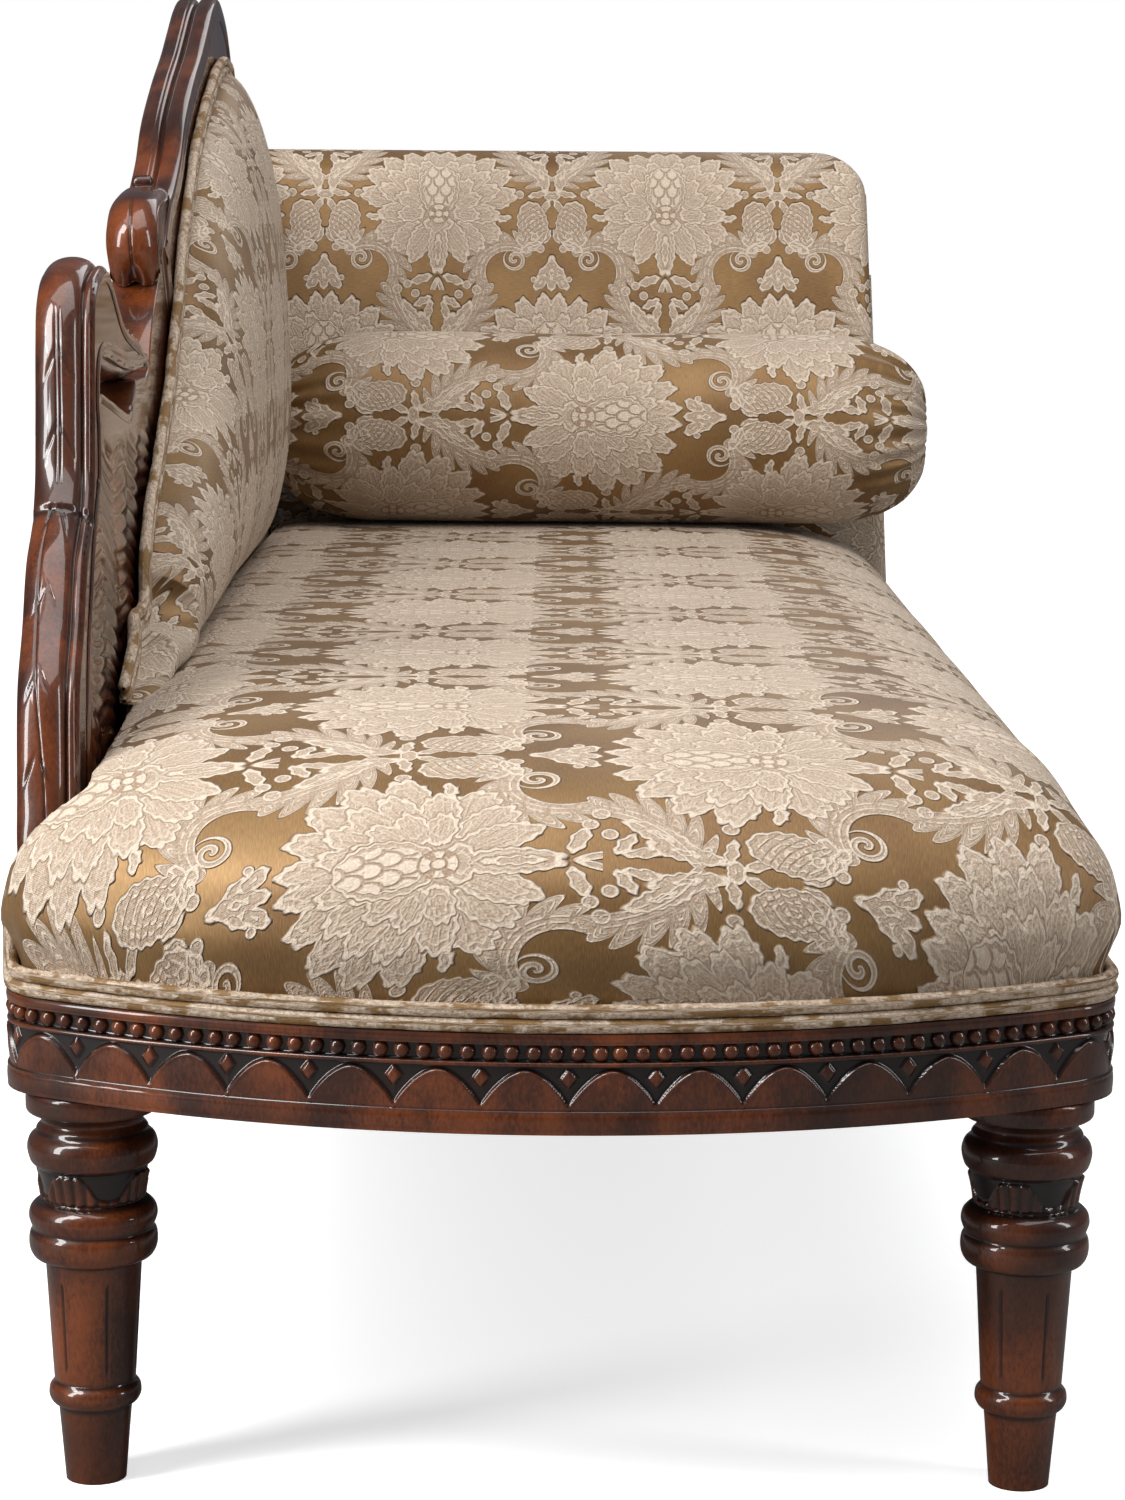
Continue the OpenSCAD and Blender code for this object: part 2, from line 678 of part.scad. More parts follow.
// Screws that come up through the rail into the back frame
back_screw_stops = [180, 480, 760, 1040, 1320, 1455];
module back_screws(gap)
    for (s = back_screw_stops)
        translate([-rail_half_w + rail_t / 2 + 6, along(s), leg_h + 12 - gap]) {
            cylinder(r = screw_r + 0.5 + gap, h = rail_h + 18 + 2 * gap, $fn = 32);
            if (gap == 0)
                cylinder(r = 2 * screw_r + 1, h = 4, $fn = 32);
            else
                translate([0, 0, -20])
                    cylinder(r = 2 * screw_r + 1.5, h = 20 + 4 + 2 * gap, $fn = 32);
        }

module back_frame_screws() color(STEEL) back_screws(0);

// Back cushion
// Line along the wooden side of the back's double welt
border = [[236, 130], [298, 150], [313, 167], [371, 170], [385, 196], [436, 231],
    [491, 254], [542, 279], [598, 305], [629, 326], [685, 361], [731, 397], [795, 435],
    [833, 454], [868, 474], [957, 508], [1048, 535], [1096, 548], [1140, 556], [1185, 560],
    [1225, 554], [1250, 538], [1268, 510], [1290, 478], [1330, 450], [1390, 433],
    [1470, 426], [1540, 424]];
pad_in = 18.5;
pad_head = 1464;
// The lower edge, just above the seat cushion
pad_floor = [[230, 118], [300, 128], [450, 134], [1552, 138]];
// Share of the full crown along the cushion
pad_crown = [[205, 0.1], [260, 0.35], [330, 0.6], [450, 0.8], [700, 0.95], [1000, 1],
    [1150, 0.95], [1210, 0.8], [1270, 0.45], [1320, 0.2], [1560, 0.12]];
pad_across = [0, 0.03, 0.1, 0.25, 0.5, 0.75, 0.9, 0.97, 1];
pad_first = 3;
pad_count = len(border) - pad_first;
back_hessian_x = strap_t + 0.1;
back_foam_x = back_hessian_x + hessian_t + 0.1;

function heading(p, i) = unit(p[min(i + 1, len(p) - 1)] - p[max(i - 1, 0)]);
function inward(p, i, d) = p[i] + d * [heading(p, i).y, -heading(p, i).x];
function pad_arch(t) = pow(1 - pow(abs(2 * t - 1), 2.6), 0.55);
// The cushion's edge at border point i, below the welt, and the point of its lower edge
function pad_high(i, skin) =
    inward(border, i + pad_first, pad_in + skin)
        - [i == pad_count - 1 ? skin : i == 0 ? -skin : 0, 0];
function pad_low(i, skin) =
    let (h = pad_high(i, skin), a = pad_high(0, 0).x, b = pad_high(pad_count - 1, 0).x,
        low_s = a + (h.x - a) * (pad_head - a) / (b - a))
    [low_s, min(lookup(low_s, pad_floor) + skin, h.y - 3)];
// One point of the cushion: t runs from its lower edge to the border
function pad_point(i, t, skin, x_min) =
    let (low = pad_low(i, skin), q = low + (pad_high(i, skin) - low) * t)
    [max(x_min, (lookup(q.x, pad_crown) * back_crown - skin) * pad_arch(t)),
        along(q.x), rail_top + q.y];

pad_k = len(pad_across);
pad_m = pad_count * pad_k;
// The grid's edge, all the way round
pad_rim = concat([for (i = [0:pad_count - 1]) i * pad_k],
    [for (j = [1:pad_k - 1]) (pad_count - 1) * pad_k + j],
    [for (i = [pad_count - 2:-1:0]) i * pad_k + pad_k - 1], [for (j = [pad_k - 2:-1:1]) j]);
pad_n = len(pad_rim);
function pad_shell(skin, x_back, x_min) =
    let (front = [for (i = [0:pad_count - 1], t = pad_across) pad_point(i, t, skin, x_min)])
    concat(front, [for (i = pad_rim) [x_back, front[i].y, front[i].z]]);
pad_faces = concat(
    [for (i = [0:pad_count - 2], j = [0:pad_k - 2])
        let (a = i * pad_k + j, b = a + pad_k)
        each [[a, a + 1, b + 1], [a, b + 1, b]]],
    [for (i = [0:pad_n - 1])
        let (j = (i + 1) % pad_n)
        each [[pad_rim[i], pad_rim[j], pad_m + j], [pad_rim[i], pad_m + j, pad_m + i]]]);

module back_foam()
    color(FOAM) on_back() {
        shell = pad_shell(cloth, back_foam_x, back_foam_x + 1);
        last = pad_count - 1;
        top = pad_m + 2 * last + pad_k - 1;
        polyhedron(shell, concat(pad_faces,
            [for (i = [1:last - 2])
                each [[pad_m + i, pad_m + i + 1, top - i - 1],
                    [pad_m + i, top - i - 1, top - i]]],
            [for (r = [top - 1 - pad_m:pad_n - 1])
                [pad_m + 1, pad_m + r, pad_m + (r + 1) % pad_n]],
            [for (r = [last:last + pad_k - 1])
                [pad_m + last - 1, pad_m + r, pad_m + r + 1]]), convexity = 8);
    }

module back_cover()
    color(DAMASK) on_back() {
        outer = pad_shell(0, back_foam_x, back_foam_x + 2.5);
        inner = pad_shell(cloth, back_foam_x, back_foam_x + 1);
        m = len(outer);
        polyhedron(concat(outer, inner), concat(
            pad_faces,
            [for (f = pad_faces) [f[0] + m, f[2] + m, f[1] + m]],
            [for (i = [0:pad_n - 1])
                let (j = (i + 1) % pad_n, a = pad_m + i, b = pad_m + j)
                each [[a, b, m + b], [a, m + b, m + a]]]), convexity = 8);
    }

back_strap_stops = [480, 640, 800, 960, 1120, 1400];
module back_webbing()
    color(SACKING)
        for (s = back_strap_stops)
            back_slab(0, strap_t)
                polygon([for (p = [[s - 22, 10], [s + 22, 10],
                        [s + 22, lookup(s + 22, border) - 34],
                        [s - 22, lookup(s - 22, border) - 34]])
                    [along(p.x), rail_top + p.y]]);

module back_hessian()
    color(SACKING)
        back_slab(back_hessian_x, hessian_t)
            polygon(on_frame(concat(
                [for (i = [0:pad_count - 1]) pad_high(i, -1)],
                [[pad_low(pad_count - 1, 0).x + 1, pad_low(pad_count - 1, 0).y - 1],
                    [1400, 136], [1400, 42], [400, 42], [400, 125], pad_low(0, -1)])));

// The double welt follows the border
welt_x = welt_r * cos(30) + 0.1;
function border_line(off) = [for (i = [0:len(border) - 1])
    let (p = inward(border, i, off))
    [[welt_x, along(p.x), rail_top + p.y], [1, 0, 0]]];

module back_welt()
    color(DAMASK) on_back()
        for (off = [welt_r + 0.2, 3 * welt_r + 0.6]) tube(border_line(off), welt_r, 6);

module outer_back_cover()
    color(DAMASK)
        back_slab(3 - back_t, cloth)
            polygon(on_frame(concat([[360, back_rail_h]], smooth(web_inner),
                smooth(crest_inner),
                [[crest_end, (crest_end - stile_foot[0]) / lean_k],
                    [stile_foot[0] + back_rail_h * lean_k, back_rail_h]])));

// Headrest
// Section in Y and Z, moved inwards by off, with its bottom at z0
roll_front_z = roll_z + roll_r * sin(headrest_lean);
function front_arc(off, n = 10) =
    [for (i = [-1:n])
        let (t = i / n, z = rail_top + (roll_front_z - rail_top) * t,
            swell = headrest_crown * sin(180 * max(t, 0)) - off)
        [front_y(z) - swell * cos(headrest_lean), z + swell * sin(headrest_lean)]];
function headrest_outline(off) =
    let (neck = [roll_y + (roll_r + neck_r) * cos(-headrest_lean - neck_turn),
            roll_z + (roll_r + neck_r) * sin(-headrest_lean - neck_turn)])
    concat(
        front_arc(off),
        arc(roll_y, roll_z, roll_r - off, 180 - headrest_lean, -headrest_lean - neck_turn, 30),
        arc(neck.x, neck.y, neck_r + off, 180 - headrest_lean - neck_turn,
            180 - headrest_lean, 5),
        [[rear_y(rail_top - 40) - off / cos(headrest_lean), rail_top - 40]]);

module across(x0, x1)
    translate([x0, 0, 0])
        rotate([90, 0, 90])
            linear_extrude(x1 - x0)
                children();

// Outline of the headrest seen from the foot, with its rounded top corner
module headrest_front_view(off)
    translate([0, overall_l, 0])
        rotate([90, 0, 0])
            linear_extrude(2 * overall_l)
                polygon(concat(
                    [[-500, 0], [headrest_half_w + side_slope * (headrest_top - 0) - off, 0],
                        [headrest_half_w + side_slope * headrest_corner_r - off,
                            headrest_top - headrest_corner_r]],
                    arc(headrest_half_w - headrest_corner_r, headrest_top - headrest_corner_r,
                        headrest_corner_r - off, 0, 90, 8),
                    [[-500, headrest_top - off]]));

// Everything to the right of the back frame's inner face
module beside_back(gap)
    translate([gap, 0, 0])
        on_back()
            translate([0, -overall_l, rail_top - 500])
                cube([1000, 2 * overall_l, 2000]);

module headrest_solid(off, z0, gap)
    intersection() {
        across(-500, 500) polygon(headrest_outline(off));
        headrest_front_view(off);
        beside_back(gap);
        translate([-500, 0, z0])
            cube([1000, overall_l, 1000]);
    }

// The part of the covers behind the slab and below the roll
module behind_slab()
    across(-500, 500)
        polygon([[rear_y(0) - 30, 0], [overall_l, 0],
            [overall_l, roll_z - roll_r + 4], [rear_y(roll_z - roll_r + 4) - 30,
                roll_z - roll_r + 4]]);

module headrest_shell()
    difference() {
        headrest_solid(0, rail_top + 0.3, soft_gap);
        headrest_solid(cloth, rail_top - 10, -20);
    }

module headrest_cover()
    color(DAMASK) difference() {
        union() {
            headrest_shell();
            translate([rail_half_w - tack_in + 0.1, front_y(rail_top), fillet_top + 3])
                cube([cloth - 0.1, head_y - tack_in - front_y(rail_top),
                    rail_top - fillet_top + 2]);
        }
        behind_slab();
    }

module headrest_outer_cover()
    color(DAMASK) union() {
        intersection() {
            headrest_shell();
            behind_slab();
        }
        translate([-rail_half_w + tack_in, head_y - tack_in + 0.1, fillet_top + 3])
            cube([2 * (rail_half_w - tack_in), cloth - 0.1, rail_top - fillet_top - 3]);
        translate([1 - back_x, head_y - tack_in + 0.1, fillet_top + 3])
            cube([back_x + rail_half_w - tack_in - 1, cloth - 0.1, rail_top - fillet_top - 1.5]);
    }

// Frame of the headrest: three ribs with round heads on a roller
rib_xs = [-back_x + 6, 14, headrest_half_w - rib_t - 8];
rib_head_r = roll_r - 24;
function rib_front_y(z) = front_y(z) + headrest_pad / cos(headrest_lean);
function rib_rear_y(z) = rear_y(z) - (cloth + 0.2) / cos(headrest_lean);
module rib_section() {
    polygon([[rib_front_y(rail_top), rail_top], [rib_rear_y(rail_top), rail_top],
        [rib_rear_y(roll_z), roll_z], [rib_front_y(roll_z), roll_z]]);
    translate([roll_y, roll_z])
        circle(r = rib_head_r, $fn = 96);
}

module headrest_ribs()
    color(PLAIN_WOOD) difference() {
        for (x = rib_xs) across(x, x + rib_t) rib_section();
        across(-500, 500)
            translate([roll_y, roll_z])
                circle(r = roller_r + bore_gap, $fn = 96);
        headrest_screw_set(bore_gap);
    }

module headrest_roller()
    color(PLAIN_WOOD)
        across(rib_xs[0], rib_xs[2] + rib_t)
            translate([roll_y, roll_z])
                circle(r = roller_r, $fn = 96);

cross_rail_zs = [rail_top + 30, rail_top + 200];
module headrest_cross_rails()
    color(PLAIN_WOOD)
        for (i = [0, 1], z = cross_rail_zs)
            across(rib_xs[i] + rib_t, rib_xs[i + 1])
                polygon([[rib_front_y(z), z], [rib_front_y(z) + 24, z],
                    [rib_front_y(z + 50) + 24, z + 50], [rib_front_y(z + 50), z + 50]]);

module headrest_hessian()
    color(SACKING)
        across(rib_xs[0], rib_xs[2] + rib_t)
            polygon([[rib_front_y(rail_top + 6) - 1.2, rail_top + 6],
                [rib_front_y(rail_top + 6), rail_top + 6],
                [rib_front_y(roll_z - 30), roll_z - 30],
                [rib_front_y(roll_z - 30) - 1.2, roll_z - 30]]);

module headrest_foam()
    color(FOAM) difference() {
        headrest_solid(cloth, rail_top + soft_gap, soft_gap + 0.6);
        across(-500, 500)
            polygon([[rib_front_y(0) - 1.3, 0], [overall_l, 0], [rib_rear_y(roll_z), roll_z],
                [rib_front_y(roll_z) - 1.3, roll_z]]);
        across(-500, 500)
            translate([roll_y, roll_z])
                circle(r = rib_head_r + 0.2, $fn = 96);
    }

module headrest_screw_set(gap)
    for (x = rib_xs)
        translate([x + rib_t / 2, head_y - tack_in - 8, leg_h + 12 - gap]) {
            cylinder(r = screw_r + gap, h = rail_h + 14 + 2 * gap, $fn = 32);
            if (gap == 0)
                cylinder(r = 2 * screw_r + 0.5, h = 4, $fn = 32);
            else
                translate([0, 0, -20])
                    cylinder(r = 2 * screw_r + 1, h = 20 + 4 + 2 * gap, $fn = 32);
        }

module headrest_screws() color(STEEL) headrest_screw_set(0);

// Bolster
// It lies on the seat and leans on the headrest
bolster_z = seat_top + bolster_r + soft_gap;
bolster_y = front_y(bolster_z) - (headrest_crown + bolster_r + soft_gap) / cos(headrest_lean);
mouth_r = 8;
// Distance from the end, share of the radius, and depth of the pleats
bolster_rows = [[7, 0, 0], [3, 0.3, 1.5], [0.5, 0.62, 2.5], [6, 0.85, 2.2], [20, 0.965, 1.2],
    [46, 1, 0.3]];
pleat_steps = 4 * pleats;
function bolster_ring(x, dir, row, skin) =
    let (base = row[1] == 0 ? mouth_r + (skin > 0 ? 0.2 : 0) : bolster_r * row[1] - skin * row[1])
    [for (i = [0:pleat_steps - 1])
        let (a = 360 * i / pleat_steps, r = base + row[2] * (cos(pleats * a) - 1) / 2)
        [x + dir * (row[0] + skin * (1 - row[1] * row[1])), r * cos(a), r * sin(a)]];
function bolster_rings(skin) = concat(
    [for (row = bolster_rows) bolster_ring(-bolster_left, 1, row, skin)],
    [for (row = reversed(bolster_rows)) bolster_ring(bolster_right, -1, row, skin)]);

module bolster_cover()
    color(DAMASK)
        translate([0, bolster_y, bolster_z]) {
            n = pleat_steps;
            outer = bolster_rings(0);
            inner = bolster_rings(cloth);
            rows = len(outer);
            m = n * rows;
            polyhedron(concat([for (r = outer) each r], [for (r = inner) each r]), concat(
                ring_walls(n, rows),
                [for (f = ring_walls(n, rows)) [f[0] + m, f[2] + m, f[1] + m]],
                [for (i = [0:n - 1])
                    each [[i, m + (i + 1) % n, m + i], [i, (i + 1) % n, m + (i + 1) % n]]],
                [for (i = [0:n - 1])
                    each [[m - n + i, 2 * m - n + (i + 1) % n, m - n + (i + 1) % n],
                        [m - n + i, 2 * m - n + i, 2 * m - n + (i + 1) % n]]]),
                convexity = 6);
        }

// The filling keeps clear of the cover's pleats
module bolster_fill()
    color(FOAM)
        translate([0, bolster_y, bolster_z])
            rotate([0, 90, 0])
                rotate_extrude($fn = 96)
                    polygon(concat(
                        [[0, 12 - bolster_left]],
                        [for (row = bolster_rows) if (row[1] > 0)
                            [(bolster_r * row[1] - cloth) * cos(180 / pleat_steps) - row[2] - 0.3,
                                row[0] + cloth + 3 - bolster_left]],
                        [for (row = reversed(bolster_rows)) if (row[1] > 0)
                            [(bolster_r * row[1] - cloth) * cos(180 / pleat_steps) - row[2] - 0.3,
                                bolster_right - row[0] - cloth - 3]],
                        [[0, bolster_right - 12]]));

module end_button()
    rotate_extrude($fn = 64)
        polygon(concat([[0, 9], [mouth_r - 1, 9], [mouth_r - 1, 2.6], [button_r - 1, 1.6]],
            arc(0, 1, button_r, 3, 3, 1),
            [for (i = [0:8]) [button_r * cos(i * 11.25), 0.6 - 3.6 * sin(i * 11.25)]]));

module bolster_end_buttons()
    color(DAMASK)
        for (dir = [1, -1])
            translate([dir > 0 ? -bolster_left : bolster_right, bolster_y, bolster_z])
                rotate([0, dir * 90, 0])
                    end_button();

foot_rail();
sitter_side_rail();
back_side_rail();
head_rail();
rail_dowels();
corner_blocks();
corner_block_screws();
leg_foot_left();
leg_foot_right();
leg_head_left();
leg_head_right();
leg_hanger_bolts();
leg_bolt_nuts();
seat_cross_braces();
seat_head_bearer();
back_seat_batten();
seat_webbing_cross();
seat_webbing_long();
seat_hessian();
seat_foam();
seat_cover();
seat_welt();
dust_cover();
scroll_post();
scroll_web();
leaf_volute();
crest_rail();
head_stile();
back_bottom_rail();
back_frame_screws();
back_webbing();
back_hessian();
back_foam();
back_cover();
back_welt();
outer_back_cover();
headrest_ribs();
headrest_roller();
headrest_cross_rails();
headrest_hessian();
headrest_foam();
headrest_cover();
headrest_outer_cover();
headrest_screws();
bolster_fill();
bolster_cover();
bolster_end_buttons();
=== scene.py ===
import json
import math
from functools import partialmethod

import bmesh
import bpy
import numpy as np
from mathutils import Matrix, Vector


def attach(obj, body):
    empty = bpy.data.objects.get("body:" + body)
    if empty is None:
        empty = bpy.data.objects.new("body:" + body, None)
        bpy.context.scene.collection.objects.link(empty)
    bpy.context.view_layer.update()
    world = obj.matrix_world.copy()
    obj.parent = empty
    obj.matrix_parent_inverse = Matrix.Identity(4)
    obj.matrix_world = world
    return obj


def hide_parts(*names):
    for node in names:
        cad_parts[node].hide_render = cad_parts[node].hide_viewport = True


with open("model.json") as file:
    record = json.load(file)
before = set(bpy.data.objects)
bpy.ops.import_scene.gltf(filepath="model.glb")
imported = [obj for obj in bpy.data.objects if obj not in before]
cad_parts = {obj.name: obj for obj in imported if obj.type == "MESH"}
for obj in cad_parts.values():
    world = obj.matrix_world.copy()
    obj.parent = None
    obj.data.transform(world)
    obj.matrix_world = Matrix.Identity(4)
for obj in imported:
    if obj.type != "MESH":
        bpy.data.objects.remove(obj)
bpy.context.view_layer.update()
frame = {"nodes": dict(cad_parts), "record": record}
# The two bodies
FRAME, BOLSTER = "frame", "bolster"

# Sizes, in metres
RAIL_W, RAIL_TOP = 0.323, 0.312
BOW_R, CORNER_R = 0.586, 0.048
FOOT_Y = -0.898
BOW_Y = FOOT_Y + BOW_R
CORNER_X = RAIL_W - CORNER_R
CORNER_Y = BOW_Y - math.sqrt((BOW_R - CORNER_R) ** 2 - CORNER_X ** 2)
CORNER_TURN = math.acos(CORNER_X / (BOW_R - CORNER_R))
HEAD_Y = 0.763
LEG_X, LEG_FOOT_Y, LEG_HEAD_Y = 0.2725, CORNER_Y - 0.0136, 0.699
# the back is drawn in stations of about a millimetre, this many from leg to leg
STATIONS = 1481
SPAN = (LEG_HEAD_Y - LEG_FOOT_Y) / STATIONS
BACK_X, BACK_T, BACK_LEAN = 0.278, 0.037, math.radians(2.6)
HEAD_LEAN, ROLL_R, ROLL_Y, ROLL_Z = math.radians(15), 0.062, 0.838, 0.736
HEAD_TOP, HEAD_HALF_W, HEAD_CORNER_R, NECK_R = 0.798, 0.300, 0.035, 0.018
HEAD_SWELL, HEAD_SIDE_PULL, COVER_IN = 0.006, 0.006, 0.0072
BOLSTER_R, BOLSTER_LEFT, BOLSTER_RIGHT, REST_GAP = 0.091, -0.274, 0.340, 0.0004
SEAT_HEIGHT = 132.5 / 1000
LEAN_C, LEAN_S = math.cos(BACK_LEAN), math.sin(BACK_LEAN)


def front_y(z):
    """Front face of the headrest at height z."""
    return ROLL_Y - ROLL_R / math.cos(HEAD_LEAN) + (z - ROLL_Z) * math.tan(HEAD_LEAN)


def along(s):
    """Station s of the back, in millimetres from the foot, as y in metres."""
    return LEG_FOOT_Y - 0.002 + s * SPAN


def on_back(x, s, h):
    """Place from distance off the back's plane, station and height, all in millimetres."""
    x, s, h = np.broadcast_arrays(*(np.asarray(v, float) for v in (x, s, h)))
    return np.stack([-BACK_X + (x * LEAN_C - h * LEAN_S) / 1000, along(s),
                     RAIL_TOP + (x * LEAN_S + h * LEAN_C) / 1000], axis=-1)


# Lines and numbers
def smooth_curve(points, step):
    """Points along a smooth curve through the given ones, about step apart."""
    p = np.array(points, float)
    pad = np.vstack([2 * p[0] - p[1], p, 2 * p[-1] - p[-2]])
    out = []
    for i in range(len(p) - 1):
        a, b, c, d = pad[i:i + 4]
        n = max(1, int(round(np.linalg.norm(c - b) / step)))
        t = (np.arange(n) / n)[:, None]
        out.append(0.5 * (2 * b + (c - a) * t + (2 * a - 5 * b + 4 * c - d) * t ** 2
                          + (3 * b - a - 3 * c + d) * t ** 3))
    return np.vstack(out + [p[-1:]])


def lengths(p):
    """Distance along a line at each of its points."""
    return np.concatenate([[0], np.cumsum(np.linalg.norm(np.diff(p, axis=0), axis=1))])


def resample(p, n):
    """The same line with n points at equal distances."""
    run = lengths(p)
    t = np.linspace(0, run[-1], n)
    return np.stack([np.interp(t, run, p[:, k]) for k in range(p.shape[1])], axis=1)


def headings(p):
    """Unit directions along a line."""
    d = np.gradient(p, axis=0)
    return d / np.maximum(np.linalg.norm(d, axis=1, keepdims=True), 1e-9)


def bump(x, centre, width):
    """A smooth hump of height 1."""
    return np.exp(-((x - centre) / width) ** 2)


def step_up(x, a, b):
    """0 before a, 1 after b, smooth between."""
    t = np.clip((x - a) / (b - a), 0, 1)
    return t * t * (3 - 2 * t)


def dome(x):
    """Half a circle of height 1 between -1 and 1."""
    return np.sqrt(np.clip(1 - x ** 2, 0, 1))


def turns(n):
    """n angles round a circle."""
    return 2 * math.pi * np.arange(n) / n


def ripple(x, y, seed):
    """Smooth repeatable unevenness between -1 and 1."""
    rng = np.random.default_rng(seed)
    total = 0
    for _ in range(5):
        fx, fy, ph = rng.uniform(0.4, 1.6), rng.uniform(0.4, 1.6), rng.uniform(0, 6.28)
        total = total + np.sin(x * fx + y * fy * rng.choice([-1, 1]) + ph)
    return total / 5


# Mesh helpers
def add_object(name, data):
    obj = bpy.data.objects.new(name, data)
    bpy.context.scene.collection.objects.link(obj)
    return obj


def add_mesh(name, verts, faces, material, body=FRAME, replaces=(), cloth=None, painted_shade=None):
    """A smooth piece; cloth (place on the fabric) and painted shade for its hollows go on its
    points.
    """
    mesh = bpy.data.meshes.new(name)
    mesh.from_pydata(np.reshape(verts, (-1, 3)).tolist(), [],
                     [tuple(int(i) for i in f) for f in faces])
    mesh.update()
    if cloth is not None:
        place = np.zeros((len(mesh.vertices), 3))
        place[:, :2] = np.reshape(cloth, (-1, 2))
        layer = mesh.attributes.new("cloth", "FLOAT_VECTOR", "POINT")
        layer.data.foreach_set("vector", place.ravel())
    # painted shade for the hollows of the carving, kept on the points
    if painted_shade is not None:
        layer = mesh.attributes.new("painted_shade", "FLOAT", "POINT")
        layer.data.foreach_set("value", np.clip(painted_shade, 0, 1).ravel())
    mesh.shade_smooth()
    mesh.materials.append(material)
    obj = add_object(name, mesh)
    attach(obj, body)
    if replaces:
        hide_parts(*replaces)
    return obj


def add_wood(name, verts, faces, painted_shade, replaces=()):
    return add_mesh(name, verts, faces, MATERIALS["mahogany"], replaces=replaces,
                    painted_shade=painted_shade)


def add_pad(name, verts, faces, cloth, origin, scale, replaces, body=FRAME):
    """A stuffed piece in damask; origin and scale lay the pattern on it."""
    material = damask_material("damask_" + name.split("_")[0], origin, scale)
    pad = add_mesh(name, verts, faces, material, body, replaces, cloth)


def grid_faces(rows, cols, close_rows=False, close_cols=False, start=0, flip=False):
    """Quads of a grid of points."""
    r = np.arange(rows if close_rows else rows - 1)
    c = np.arange(cols if close_cols else cols - 1)
    rr, cc = np.meshgrid(r, c, indexing="ij")
    next_r, next_c = (rr + 1) % rows * cols, (cc + 1) % cols
    corners = [rr * cols + cc, rr * cols + next_c, next_r + next_c, next_r + cc]
    quads = np.stack(corners, axis=-1).reshape(-1, 4) + start
    return quads[:, ::-1] if flip else quads


def tube(centres, outs, radii, sides):
    """Points of a tube round a line; outs are unit directions square to the line."""
    ups = np.cross(headings(centres), outs)
    a = turns(sides)[None, :, None]
    ring = np.cos(a) * outs[:, None, :] + np.sin(a) * ups[:, None, :]
    return centres[:, None, :] + ring * np.asarray(radii)[:, None, None]


# Shader helpers
class Expr:
    """A number in a node tree, so that formulas can be written as Python."""

    def __init__(self, tree, socket):
        self.tree, self.socket = tree, socket

    def make(self, op, *args, clamp=False):
        node = add_node(self.tree, "Math", enumerate((self,) + args), operation=op,
                        use_clamp=clamp)
        return Expr(self.tree, node.outputs[0])

    def __neg__(self):
        return self * -1.0

    def __rsub__(self, o):
        return -self + o

    def clamp(self):
        return self.make("ADD", 0.0, clamp=True)

    def wrap(self, half):
        """Brought between -half and half."""
        return self.make("WRAP", half, -half)

    def ramp(self, a, b):
        """0 at a, 1 at b, smooth between."""
        node = add_node(self.tree, "MapRange", enumerate((self, a, b)),
                        interpolation_type="SMOOTHSTEP")
        return Expr(self.tree, node.outputs[0])


# y.angle(x) is the angle of (x, y), and x.times_plus(a, b) is x * a + b
for method, operation in (
        ("__add__", "ADD"), ("__radd__", "ADD"), ("__sub__", "SUBTRACT"), ("__mul__", "MULTIPLY"),
        ("times_plus", "MULTIPLY_ADD"), ("abs", "ABSOLUTE"), ("sin", "SINE"), ("cos", "COSINE"),
        ("sqrt", "SQRT"), ("floor", "FLOOR"), ("max", "MAXIMUM"), ("min", "MINIMUM"),
        ("angle", "ARCTAN2")):
    setattr(Expr, method, partialmethod(Expr.make, operation))


def plug(tree, value, socket):
    """Links a socket or Expr to an input, or sets a number or a colour there."""
    if isinstance(value, Expr):
        value = value.socket
    if isinstance(value, bpy.types.NodeSocket):
        tree.links.new(value, socket)
    elif isinstance(value, tuple):
        socket.default_value = (*value, 1)
    else:
        socket.default_value = float(value)


def add_node(tree, kind, inputs=(), **settings):
    """A new node; inputs are pairs of a socket's name or number and what goes there."""
    node = tree.nodes.new("ShaderNode" + kind)
    for key, value in settings.items():
        setattr(node, key, value)
    for key, value in inputs:
        plug(tree, value, node.inputs[key])
    return node


SHADER_INPUTS = {"rough": "Roughness", "specular": "Specular IOR Level", "metallic": "Metallic",
                 "sheen": "Sheen Weight", "sheen_rough": "Sheen Roughness",
                 "coat": "Coat Weight", "coat_rough": "Coat Roughness"}


def new_material(name, **values):
    """Material, tree and shader; values set the shader's inputs."""
    material = bpy.data.materials.new(name)
    material.use_nodes = True
    tree = material.node_tree
    shader = tree.nodes["Principled BSDF"]
    for key, value in values.items():
        shader.inputs[SHADER_INPUTS[key]].default_value = value
    return material, tree, shader


def attribute(tree, name, output):
    return add_node(tree, "Attribute", attribute_name=name).outputs[output]


def object_place(tree):
    return add_node(tree, "TexCoord").outputs["Object"]


def stretched(tree, vector, scale):
    node = add_node(tree, "Mapping", [(0, vector)])
    node.inputs["Scale"].default_value = scale
    return node.outputs[0]


def split_xy(tree, vector):
    node = add_node(tree, "SeparateXYZ", [(0, vector)])
    return Expr(tree, node.outputs[0]), Expr(tree, node.outputs[1])


def mix_color(tree, fac, a, b):
    return add_node(tree, "Mix", [(0, fac), (6, a), (7, b)], data_type="RGBA").outputs[2]


def noise(tree, vector, scale, detail=2.0, rough=0.5):
    node = add_node(tree, "TexNoise", [("Vector", vector), ("Scale", scale), ("Detail", detail),
                                       ("Roughness", rough)])
    return Expr(tree, node.outputs["Fac"])


def add_bump(tree, shader, height, depth, strength=1.0):
    """Relief from a height of 0 to 1 that stands for depth metres."""
    node = add_node(tree, "Bump", [("Distance", depth), ("Strength", strength),
                                   ("Height", height)])
    plug(tree, node.outputs[0], shader.inputs["Normal"])


def distance(x, y):
    """Length of the vector (x, y)."""
    return x.times_plus(x, y * y).sqrt()


